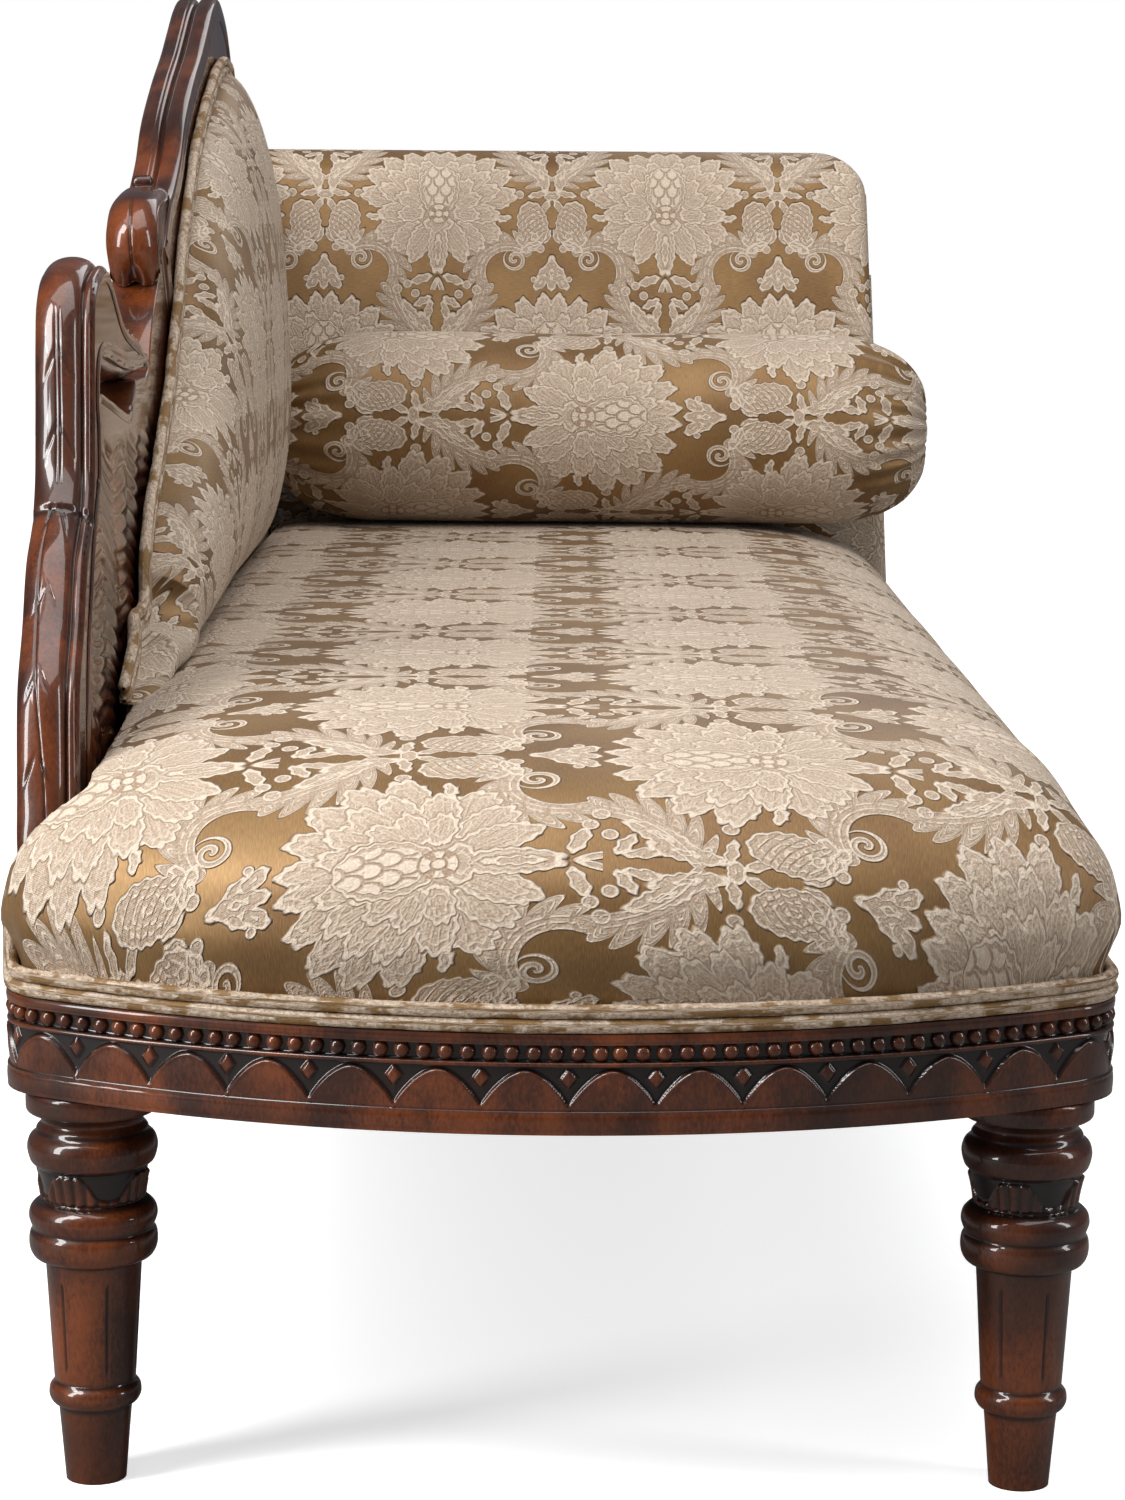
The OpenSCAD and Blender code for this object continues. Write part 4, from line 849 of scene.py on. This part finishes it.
# Bolster
BOLSTER_Z = RAIL_TOP + SEAT_HEIGHT + BOLSTER_R + REST_GAP
BOLSTER_Y = front_y(BOLSTER_Z) - (HEAD_SWELL + BOLSTER_R + REST_GAP) / math.cos(HEAD_LEAN)
# millimetres from the end and share of the radius, from the button to the full round
BOLSTER_END = [[9, 0.1], [7, 0.16], [4, 0.22], [1.5, 0.30], [0.5, 0.38], [2, 0.47], [6, 0.56],
               [12, 0.655], [20, 0.745], [31, 0.825], [45, 0.895], [64, 0.96], [88, 1.0]]


def bolster_stations():
    """(x, share of the radius, millimetres from the nearer end) along the bolster."""
    curve = smooth_curve(np.array(BOLSTER_END) * [1, 60], 2.5) / [1, 60]
    full = np.linspace(BOLSTER_LEFT + BOLSTER_R, BOLSTER_RIGHT - BOLSTER_R, 130)
    return ([(BOLSTER_LEFT + e / 1000, r, e) for e, r in curve] + [(x, 1.0, 200) for x in full]
            + [(BOLSTER_RIGHT - e / 1000, r, e) for e, r in curve[::-1]])


def make_bolster():
    stations = bolster_stations()
    run = lengths(np.array([(x, share * BOLSTER_R) for x, share, _ in stations]))
    a = turns(288)
    sag = 0.0016 * bump(np.sin(a), -1, 0.5)
    rows, cloth = [], []
    for (x, share, e), at in zip(stations, run):
        phase = 1 if x > 0 else 0
        fold = 0.5 + 0.5 * np.cos(24 * a + 0.9 * np.sin(3 * a + phase) + 0.5 * np.sin(7 * a))
        deep = np.interp(e, [0, 6, 16, 34, 60, 90], [0.0040, 0.0042, 0.0038, 0.0026, 0.0012, 0])
        if share < 0.75:
            deep = np.interp(share, [0, 0.2, 0.75], [0.0008, 0.0022, 0.0028])
        wave = 0.0008 * ripple(x * 30, a * 5, 4)
        r = (BOLSTER_R - 0.001) * share - deep * fold - (sag - wave) * (share > 0.9)
        shift = 0.0016 * fold * (share < 0.97) * (1 if x < 0 else -1)
        rows.append(np.stack([x + shift, BOLSTER_Y + r * np.cos(a), BOLSTER_Z + r * np.sin(a)],
                             axis=1))
        cloth.append(np.stack([a * BOLSTER_R, 0 * a + at], axis=1))
    add_pad("bolster_pillow", rows, grid_faces(len(rows), len(a), close_cols=True), cloth,
            (2.96 * BOLSTER_R, 0.341), (1.18, -1.04), ("bolster_cover", "bolster_fill"),
            BOLSTER)


# Carved rails
# heights of the carved bands in millimetres, and the spacing of lappets and beads
RAIL_LOW, LAPPETS_LOW, LAPPETS_HIGH, RIDGE_TOP, BEADS_TOP, RAIL_HIGH = 236, 249, 274, 277, 287, 293
LAPPET_PITCH, BEAD_PITCH, BEAD_R = 49, 12.3, 4.9
BEAD_Z, BEAD_IN = 0.282, 0.0042


def rail_relief(s, z):
    """Millimetres inside the fillets, and painted shade, by distance along the rail and height."""
    def roll(centre, half, depth, rise):
        return depth - rise * dome((z - centre) / half)

    # 0 at a lappet's middle, 1 between two
    u = np.abs((s % 1) * 2 - 1)
    arch = 251.8 + 21.0 * np.clip(1 - u ** 1.75, 0, 1) ** 0.92
    tongue = step_up(arch - z, -0.3, 0.9)
    swell = 1.2 * dome(u) * step_up(z, 248, 262)
    lip = 0.5 * bump(arch - z, 1.8, 0.9)
    dart = step_up(0.20 * np.clip(1 - np.abs(z - 267.5) / 6.3, 0, 1) - (1 - u), -0.02, 0.06)
    carved = 3.0 - tongue * (1.6 + swell + lip) - dart * 2.0
    low, band, ridge, beads = (z <= LAPPETS_LOW, z < LAPPETS_HIGH, z <= RIDGE_TOP, z < BEADS_TOP)
    depth = np.select([low, band, ridge, beads],
                      [roll(242.5, 6.6, 0.9, 1.2), carved, roll(275.5, 1.55, 1.4, 1.3), 4.1],
                      roll(290, 3.1, 0.8, 1.1))
    # painted shade: in the ground round the lappets and their darts, along each lappet's edge, and
    # behind the beads
    painted_shade = np.select([low, band, ridge, beads],
                     [0, (1 - np.maximum(tongue, dart)) * 0.95 + 0.35 * bump(arch - z, 0.4, 0.7),
                      0, 0.95], 0)
    # painted shade along the edges of the fillets
    edge_shade = sum(bump(z, at, w) for at, w in ((249.2, 0.7), (274, 0.6), (277.2, 0.7), (287, 0.7)))
    return depth, painted_shade + 0.8 * edge_shade


def make_rail_carving():
    head = [(x, HEAD_Y, 0, 1) for x in np.linspace(RAIL_W, -RAIL_W, 500)[1:-1]]
    line = np.vstack([plan_line(0, 560, 130, HEAD_Y, 1100), head])
    run = lengths(np.vstack([line, line[:1]])[:, :2])[:-1] * 1000
    total = run[-1]
    z = np.concatenate([np.linspace(RAIL_LOW, LAPPETS_LOW, 9),
                        np.linspace(LAPPETS_LOW + 0.2, LAPPETS_HIGH - 0.2, 34),
                        np.linspace(LAPPETS_HIGH, RIDGE_TOP, 6),
                        np.linspace(RIDGE_TOP + 0.3, BEADS_TOP - 0.3, 9),
                        np.linspace(BEADS_TOP, RAIL_HIGH, 7)])
    depth, painted_shade = rail_relief(run[:, None] / (total / round(total / LAPPET_PITCH)), z[None, :])
    # a last row runs back over the rails to the tacking strip, in painted shade
    depth = np.concatenate([depth, depth[:, -1:] + 9], axis=1) / 1000
    painted_shade = np.concatenate([painted_shade, np.full((len(line), 1), 0.6)], axis=1)
    z = np.broadcast_to(np.append(z, z[-1] + 0.3) / 1000, depth.shape)
    flat = line[:, None, :2] - line[:, None, 2:] * depth[..., None]
    add_wood("rail_carving", np.concatenate([flat, z[..., None]], axis=-1),
             grid_faces(*depth.shape, close_rows=True), painted_shade)
    make_beads(line, run)


def make_beads(line, run):
    """A row of round beads under the upper fillet."""
    rings, sides = 7, 12
    lat, lon = np.linspace(-math.pi / 2, math.pi / 2, rings)[:, None], turns(sides)[None, :]
    ball = np.stack(np.broadcast_arrays(np.cos(lat) * np.cos(lon), np.cos(lat) * np.sin(lon),
                                        np.sin(lat)), -1).reshape(-1, 3) * BEAD_R / 1000
    count = int(round(run[-1] / BEAD_PITCH))
    at = run[-1] * (np.arange(count) + 0.5) / count
    rows = line[np.minimum(np.searchsorted(run, at), len(run) - 1)]
    centres = np.column_stack([rows[:, :2] - rows[:, 2:] * BEAD_IN, np.full(count, BEAD_Z)])
    ball_faces = grid_faces(rings, sides, close_cols=True)
    faces = ball_faces[None] + (np.arange(count) * rings * sides)[:, None, None]
    add_wood("rail_beads", centres[:, None] + ball[None], faces.reshape(-1, 4),
             np.zeros(count * rings * sides))


# Legs
# radius and height of the turning, in millimetres; the necks and grooves get painted shade
LEG_PROFILE = [(0, 0.5), (15.8, 0), (17.6, 1.2), (17.9, 3), (21.3, 43), (22.5, 46), (25, 47.6),
               (26.8, 51), (27, 54), (26.4, 57), (24.4, 59.6), (23.6, 61.8), (24, 64),
               (27.9, 130), (28.2, 132.6), (30, 134.2), (34, 135.6), (36.6, 139.5), (37.5, 144.5),
               (37, 150), (35.4, 153), (36.4, 156), (37.5, 160), (36.5, 165), (33, 168.6),
               (30, 170), (29.9, 174), (31.4, 182), (33, 188), (33.4, 190.5), (36.2, 193.5),
               (38, 201), (36.6, 207), (33.6, 210), (32.6, 211.6), (32.4, 213), (29.6, 216.5),
               (31, 219.5), (34.6, 221.8), (37.4, 223), (38.5, 225.5), (38.4, 232), (37, 235.4),
               (30, 235.9)]
LEG_GROOVES = (45, 60.5, 134, 153, 169, 190.3, 211.5, 221)
SLOTS, SLOT_TURN = 6, math.radians(-66)
FANS, FAN_TURN = 4, math.radians(-110)


def make_leg(name, x0, y0):
    line = resample(smooth_curve(np.array(LEG_PROFILE)[:, ::-1], 0.8), 300)
    z, r = line[:, :1], np.clip(line[:, 1:], 0, 38.5)
    a = turns(240)[None, :]

    def repeats(count, turn):
        """-0.5 to 0.5 across each of count equal parts of the circle."""
        return (((a - turn) / (2 * math.pi) * count + 0.5) % 1) - 0.5

    # slots down the shaft
    slot = (bump(repeats(SLOTS, SLOT_TURN), 0, 0.17 / SLOTS) * step_up(z, 66, 72)
            * (1 - step_up(z, 120, 125)))
    # palmettes on the cup: fans of tongues, tallest in the middle
    fan = repeats(FANS, FAN_TURN)
    tall = 173 + 15.5 * np.exp(-(fan / 0.30) ** 4)
    finger = np.abs(np.cos(fan * 7 * math.pi)) ** 0.6
    up = step_up(tall - z, -1.5, 1.0) * step_up(z, 170.5, 172) * (1 - step_up(z, 188, 190))
    on_cup = step_up(z, 169.5, 171) * (1 - step_up(z, 190, 191))
    r = r - 1.3 * slot + (up * (0.5 + 1.9 * finger) - 1.0) * on_cup
    # painted shade in the slots, between the tongues of the cup and in the grooves
    painted_shade = 0.9 * slot + on_cup * (0.9 - 0.85 * up * finger)
    painted_shade = painted_shade + 0.85 * sum(bump(z, groove, 1.4) for groove in LEG_GROOVES)
    p = np.stack([x0 + r * np.cos(a) / 1000, y0 + r * np.sin(a) / 1000,
                  np.broadcast_to(z / 1000, r.shape)], axis=-1)
    add_wood("carved_" + name, p, grid_faces(*r.shape, close_cols=True), painted_shade, (name,))


# Carved back frame
# Outlines in the plane of the back: station from the foot, height above the rail
POST_FRONT = [[16, 0], [16, 60], [28, 93], [53, 152], [88, 188], [120, 224], [165, 254],
              [190, 301], [210, 349], [228, 378], [262, 394], [320, 397], [388, 362], [469, 346],
              [514, 331], [519, 320], [512, 312]]
HOOK_UNDER = [[450, 312], [395, 316], [300, 327], [256, 324], [240, 306]]
POST_REAR = [[240, 306], [240, 288], [225, 254], [190, 224], [158, 188], [128, 152], [100, 93],
             [88, 60], [85, 0]]
WEB_UNDER_HOOK = [[450, 312], [425, 298], [400, 292], [300, 307], [254, 313], [240, 306]]
WEB_TOP = [[512, 312], [530, 318], [548, 334], [580, 356], [612, 372]]
WEB_INNER = [[360, 110], [400, 160], [450, 186], [505, 208], [556, 233], [612, 259], [645, 280],
             [700, 318]]
LEAF = [[612, 372], [600, 388], [596, 408], [604, 430], [626, 446], [664, 454], [706, 458],
        [718, 450]]
CREST_OUTER = [[716, 436], [750, 446], [810, 471], [862, 501], [950, 534], [1030, 559],
               [1088, 580], [1150, 602], [1205, 613], [1252, 603], [1287, 584], [1307, 554],
               [1325, 520], [1370, 488], [1430, 472], [1500, 466]]
CREST_INNER = [[700, 318], [745, 350], [808, 388], [880, 424], [966, 461], [1055, 489],
               [1100, 501], [1140, 509], [1180, 512], [1200, 506], [1212, 492], [1225, 468],
               [1255, 430], [1310, 400], [1385, 384], [1500, 378]]
# the leaf is drawn taller than it is: heights above its base are scaled
LEAF_BASE, LEAF_SHARE, COLLAR = 372, 0.87, (716, 449)
CREST_FOOT = [[660, 401.5]]
THICK = BACK_T * 1000


def outline(parts, step=2.5):
    """Closed outline through smooth parts, evenly spaced, run clockwise."""
    line = np.vstack([smooth_curve(p, 1.5) if len(p) > 2 else np.array(p, float) for p in parts])
    line = np.vstack([line, line[:1]])
    line = line[np.concatenate([[True], np.linalg.norm(np.diff(line, axis=0), axis=1) > 1e-6])]
    p = resample(line, int(lengths(line)[-1] / step) + 1)[:-1]
    s, h = p.T
    area = np.sum(s * np.roll(h, -1) - np.roll(s, -1) * h)
    return p[::-1] if area > 0 else p


def inward_closed(p):
    """Unit directions inwards at the points of a closed outline."""
    v = np.roll(p, -2, axis=0) - np.roll(p, 2, axis=0)
    v = v / np.maximum(np.linalg.norm(v, axis=1, keepdims=True), 1e-9)
    return np.stack([v[:, 1], -v[:, 0]], axis=1)


def inside_outline(p, s, h):
    """Which of the points (s, h) lie in the closed outline p."""
    hit = np.zeros(s.shape, bool)
    for (s0, h0), (s1, h1) in zip(p, np.roll(p, -1, axis=0)):
        if h0 != h1:
            cross = (h0 > h) != (h1 > h)
            hit ^= cross & (s < (s1 - s0) * (h - h0) / (h1 - h0) + s0)
    return hit


def round_over(x0, x1, depth, rows, floor=0.0):
    """(x, inset) rows over a rounded ridge from x0 to x1."""
    return [[x0 + (x1 - x0) * (k + 1) / 2, floor + depth * (1 - math.sqrt(max(1 - k * k, 0)))]
            for k in np.linspace(-1, 1, rows)]


def moulded_edge(p, profile, carve):
    """Points and painted shade of the edge: profile rows of (x, inset) along the outline p."""
    inner = inward_closed(p)
    prof = np.array(profile, float)
    x = np.broadcast_to(prof[:, 0], (len(p), len(prof)))
    slope = np.gradient(prof[:, 1])
    # painted shade in the creases of the profile, and from carve in its cuts
    crease_shade = step_up(np.abs(np.gradient(slope)), 0.4, 1.6) * (np.gradient(slope) < 0)
    more, dark = carve(p[:, :1], p[:, 1:], x) if carve else (0, 0 * x)
    inset = prof[:, 1] + more
    s = p[:, :1] + inner[:, :1] * inset
    h = np.maximum(p[:, 1:] + inner[:, 1:] * inset, 0.3)
    return on_back(x, s, h), np.maximum(crease_shade * 0.8, dark)


def carved_piece(name, p, profile, nodes, carve=None, face=None, face_x=-1.6, step=4.0,
                 cap_in=9.0):
    """A board with a moulded edge, following a closed outline in the plane of the back."""
    edge, painted_shade = moulded_edge(p, profile, carve)
    verts, painted_shades = [edge.reshape(-1, 3)], [painted_shade.ravel()]
    faces = [grid_faces(*painted_shade.shape, close_rows=True)]
    # the broad faces: a grid of points inside the outline, carved on the sitter's side
    (s0, h0), (s1, h1) = p.min(axis=0), p.max(axis=0)
    s, h = np.meshgrid(np.arange(s0, s1 + step, step), np.arange(max(h0, 0.3), h1 + step, step),
                       indexing="ij")
    mid_s, mid_h = ((v[:-1, :-1] + v[1:, 1:]) / 2 for v in (s, h))
    keep = inside_outline(p + inward_closed(p) * cap_in, mid_s, mid_h).ravel()
    # dark is painted shade in the cuts of the face's carving
    relief, dark = face(s, h) if face else (0 * s, 0 * s)
    start = painted_shade.size
    for x, painted_shade, flip in ((face_x + relief, dark, True), (-THICK + 0.6, 0 * s, False)):
        verts.append(on_back(x, s, h).reshape(-1, 3))
        painted_shades.append(painted_shade.ravel())
        faces.append(grid_faces(*s.shape, start=start, flip=flip)[keep])
        start += s.size
    obj = add_wood(name, np.vstack(verts), np.vstack(faces), np.concatenate(painted_shades), nodes)
    drop_loose_points(obj.data)


def drop_loose_points(mesh):
    work = bmesh.new()
    work.from_mesh(mesh)
    bmesh.ops.delete(work, geom=[v for v in work.verts if not v.link_faces], context="VERTS")
    work.to_mesh(mesh)
    work.free()


def carve_post(s, h, x):
    """Vein with side branches down the front, and the cuff two thirds up; (inset, painted shade in
    the cuts).
    """
    stem = s < 262
    front = step_up(h, 40, 60) * step_up(372, h, h + 12) * stem
    centre = x + 22.5 + 1.5 * np.sin(h / 60)
    vein = (bump(centre, 1.3, 0.55) + bump(centre, -1.3, 0.55)) * 0.9 * front * (h > 262)
    vein = vein + 0.8 * bump(centre, 5 * np.sin(h / 45), 0.7) * front * (h < 250)
    branch = ((h + np.abs(centre) * 2.2) / 46) % 1
    cut = bump(branch, 0.5, 0.018) * 1.3 + bump(branch, 0.57, 0.015) * 0.9
    cut = cut * bump(np.abs(centre), 4.5, 3.4) * front
    cuff = step_up(h, 249, 251) * (1 - step_up(h, 251, 275)) * stem
    under = bump(h, 248, 2.2) * stem
    return vein + cut - 1.5 * cuff + under, np.clip(vein * 0.9 + cut * 0.8 + 0.7 * under, 0, 0.95)


def post_edge():
    """(x, inset) across the post: a small roll, then a wide round."""
    rows = [[-1.2, 17], [-0.3, 14.5], [0, 12.5], [-0.6, 10.6], [-1.6, 9.6]]
    rows += round_over(-1.8, -7.6, 3.0, 12, 6.4)[1:] + round_over(-8.2, -36.8, 8.5, 44)
    return rows + [[-37, 10.5], [-36.6, 14]]


def web_face(s, h):
    """Slanting waves, and strands close to the foot of the post; (relief, painted shade in the
    cuts).
    """
    across = s * 0.82 - h * 0.42 + 6 * np.sin(h / 31 + s / 70)
    strand = np.abs(np.sin(across / 5.2)) ** 0.7
    wave_at = (h + 0.20 * s + 6 * np.sin(s / 21) + 3 * np.sin(h / 19 + s / 40)) / 4.1
    wave = np.abs(np.sin(wave_at)) ** 0.8
    upper = step_up(s - 0.25 * h, 80, 150)
    cut = (1 - strand) * (1 - upper) + (1 - wave) * upper
    lift = 1.6 * ripple(s / 16, h / 21, 6)
    carved = 1 - step_up(h, 262, 285)
    return (lift - 2.4 * cut) * carved, 0.7 * step_up(cut, 0.55, 0.95) * carved


def crest_edge():
    """(x, inset) across the crest: a wide roll, a hollow, then a round."""
    rows = [[-1.4, 22], [-0.4, 19], [0, 16], [-0.8, 13.4], [-1.0, 10]]
    rows += round_over(-0.6, -17.2, 6.0, 22, 0.5)[1:] + [[-18, 6.9]]
    # two fine grooves along the outer half
    rows += [[x, inset + 1.1 * bump(x, -31.5, 0.7) + 0.8 * bump(x, -23.0, 0.6)]
             for x, inset in round_over(-18.8, -36.8, 6.5, 26)]
    return rows + [[-37, 9], [-36.6, 13]]


def make_leaf():
    """Bulbous leaf: a two-lobed tip below, a double vein down its front and a collar above."""
    line = outline([LEAF, CREST_OUTER[:1]], 1.2)
    line[:, 1] = LEAF_BASE + (line[:, 1] - LEAF_BASE) * LEAF_SHARE
    s, h = line[:, :1], line[:, 1:]
    inner = inward_closed(line)
    columns = 49
    across = np.linspace(-1, 1, columns)[None, :]
    bulge = 11 * (1 - np.sqrt(np.clip(1 - np.abs(across) ** 2.4, 0, 1)))
    front = step_up(640, s, s + 30) * step_up(h, 376, 384)
    lobes = bump(across, 0, 0.30) * (1 - step_up(h, 374, 398)) * 5
    vein = (bump(across, 0.045, 0.022) + bump(across, -0.045, 0.022)) * front
    swell = 3.0 * bump(h, 412, 20) * (1 - across ** 2)
    d = bulge + vein + lobes - swell
    x = -THICK / 2 + across * (THICK / 2 - 0.5) * (1 + 0.06 * bump(h, 410, 22))
    body = on_back(x, s + inner[:, :1] * d, h + inner[:, 1:] * d)
    # painted shade in the vein and round the lobes
    painted_shade = vein * 0.9 + 0.8 * bump(lobes, 3.2, 1.0)
    faces = list(grid_faces(len(line), columns, close_rows=True))
    first, last = (np.arange(len(line)) * columns + k for k in (0, columns - 1))
    collar = collar_points()
    faces += [first[::-1], last]
    faces += list(grid_faces(*collar.shape[:2], close_cols=True, start=painted_shade.size))
    add_wood("carved_leaf", np.vstack([body.reshape(-1, 3), collar.reshape(-1, 3)]), faces,
             np.concatenate([painted_shade.ravel(), np.zeros(collar.size // 3)]), ("leaf_volute",))


def collar_points():
    """A small roll over the crest where the leaf begins."""
    x = np.linspace(-THICK + 8, -THICK / 2 + 6, 25)[:, None]
    a = turns(14)[None, :]
    r = 5.5 * np.sqrt(np.clip(1 - np.abs(np.linspace(-1, 1, 25)) ** 6, 0.05, 1))[:, None]
    return on_back(x, COLLAR[0] + r * np.cos(a), COLLAR[1] + r * np.sin(a))


def make_back_frame():
    carved_piece("carved_post", outline([POST_FRONT, HOOK_UNDER, POST_REAR], 1.6), post_edge(),
                 ("scroll_post",), carve=carve_post)
    web = outline([[[85, 0], [360, 0]], WEB_INNER, CREST_FOOT, WEB_TOP[::-1], WEB_UNDER_HOOK,
                   POST_REAR])
    web_edge = [[-3.2, 6], [-2.6, 3], [-2.4, 0.6], [-3.5, 0], [-35, 0], [-36.4, 2], [-36.5, 6]]
    carved_piece("carved_web", web, web_edge, ("scroll_web",), face=web_face, face_x=-3.4,
                 step=2.0, cap_in=1.4)
    make_leaf()
    crest = outline([CREST_FOOT, CREST_OUTER, CREST_INNER[::-1]])
    carved_piece("carved_crest", crest, crest_edge(), ("crest_rail",), cap_in=12.0)


# Covers behind and buttons
def cover_copy(name, node, short, origin, scale, place, body=FRAME):
    """A thin cover of the CAD with its place on the fabric added."""
    source = frame["nodes"][node].data
    verts = np.array([v.co for v in source.vertices])
    obj = add_mesh(name, verts, [tuple(p.vertices) for p in source.polygons],
                   damask_material("damask_" + short, origin, scale), body, (node,),
                   place(verts))
    obj.data.set_sharp_from_angle(angle=math.radians(35))


def seen_from_side(verts):
    return verts[:, 1:3]


def around_headrest(verts):
    """Place on the fabric of the headrest: across, and along its section."""
    line = head_section(0)
    run = lengths(line)
    start, step = line[:-1], np.diff(line, axis=0)
    rel = verts[:, None, 1:3] - start[None]
    t = np.clip((rel * step).sum(axis=2) / (step ** 2).sum(axis=1), 0, 1)
    best = np.linalg.norm(rel - t[..., None] * step, axis=2).argmin(axis=1)
    return np.stack([verts[:, 0], run[best] + t[np.arange(len(verts)), best] * np.diff(run)[best]],
                    axis=1)


def make_outer_covers():
    cover_copy("back_outer_cloth", "outer_back_cover", "back_outer", (0.02, 0.62), (1.0, -1.0),
               seen_from_side)
    cover_copy("headrest_outer_cloth", "headrest_outer_cover", "head_outer", (-0.125, 0.4375),
               (1.15, -1.15), around_headrest)
    cover_copy("bolster_buttons", "bolster_end_buttons", "buttons",
               (BOLSTER_Y, BOLSTER_Z - 0.03), (1.0, -1.0), seen_from_side, BOLSTER)


# Room, lights, camera
def area_light(name, at, aim, size, power):
    data = bpy.data.lights.new(name, "AREA")
    data.shape = "RECTANGLE"
    data.size, data.size_y = size
    data.energy = power
    obj = add_object(name, data)
    obj.location = at
    obj.rotation_euler = (Vector(aim) - Vector(at)).to_track_quat("-Z", "Y").to_euler()


def by_ray(tree, for_camera, for_glossy, otherwise):
    """A colour by the kind of ray, and whether the camera sees it."""
    path = add_node(tree, "LightPath").outputs
    seen = Expr(tree, path["Is Camera Ray"])
    around = mix_color(tree, path["Is Glossy Ray"], otherwise, for_glossy)
    return mix_color(tree, seen, around, for_camera), seen


def make_floor():
    mesh = bpy.data.meshes.new("floor")
    r = 9
    mesh.from_pydata([(-r, -r, 0), (r, -r, 0), (r, r, 0), (-r, r, 0)], [], [(0, 1, 2, 3)])
    obj = add_object("floor", mesh)
    material, tree, shader = new_material("floor", rough=0.9, specular=0.1)
    color, seen = by_ray(tree, (0.90, 0.90, 0.90), (0.20, 0.195, 0.19), (0.30, 0.29, 0.28))
    plug(tree, color, shader.inputs["Base Color"])
    plug(tree, (1.0, 1.0, 1.0), shader.inputs["Emission Color"])
    # the floor fades to white away from the couch
    x, y = split_xy(tree, add_node(tree, "NewGeometry").outputs["Position"])
    far = distance(x, y).ramp(1.2, 4.5)
    plug(tree, seen * far.times_plus(0.45, 0.62), shader.inputs["Emission Strength"])
    mesh.materials.append(material)


def make_studio():
    world = bpy.data.worlds.new("studio")
    bpy.context.scene.world = world
    world.use_nodes = True
    tree = world.node_tree
    color, _ = by_ray(tree, (1.0, 1.0, 1.0), (0.10, 0.10, 0.11), (0.23, 0.23, 0.235))
    plug(tree, color, tree.nodes["Background"].inputs["Color"])
    aim = (0, -0.2, 0.45)
    area_light("top", (-1.5, -1.75, 2.6), (0, -0.7, 0.4), (0.9, 1.2), 54)
    area_light("overhead", (0.2, -0.7, 3.0), (0, -0.5, 0.4), (2.4, 2.4), 50)
    area_light("left_strip", (-2.3, -2.0, 1.4), aim, (0.6, 2.0), 58)
    area_light("right_strip", (2.8, -1.3, 1.7), aim, (0.5, 2.2), 31)
    area_light("rear", (0.9, 2.6, 2.2), aim, (1.6, 1.2), 9)


def make_camera():
    data = bpy.data.cameras.new("camera")
    data.lens = 88.8
    data.sensor_width = 36
    data.clip_end = 50
    obj = add_object("camera", data)
    at, pitch, roll = (0, -2.890, 0.745), math.radians(90 - 8.38), math.radians(0.4)
    obj.matrix_world = (Matrix.Translation(at) @ Matrix.Rotation(pitch, 4, "X")
                        @ Matrix.Rotation(roll, 4, "Z"))
    bpy.context.scene.camera = obj


# The scene
paint_cad_nodes()
make_outer_covers()
make_seat()
make_seat_welt()
make_back_cushion()
make_back_welt()
make_back_frame()
make_headrest()
make_bolster()
make_rail_carving()
for end, leg_y in (("foot", LEG_FOOT_Y), ("head", LEG_HEAD_Y)):
    for side, leg_x in (("left", -LEG_X), ("right", LEG_X)):
        make_leg(f"leg_{end}_{side}", leg_x, leg_y)
make_floor()
make_studio()
make_camera()
bpy.context.scene.view_settings.view_transform = "Standard"
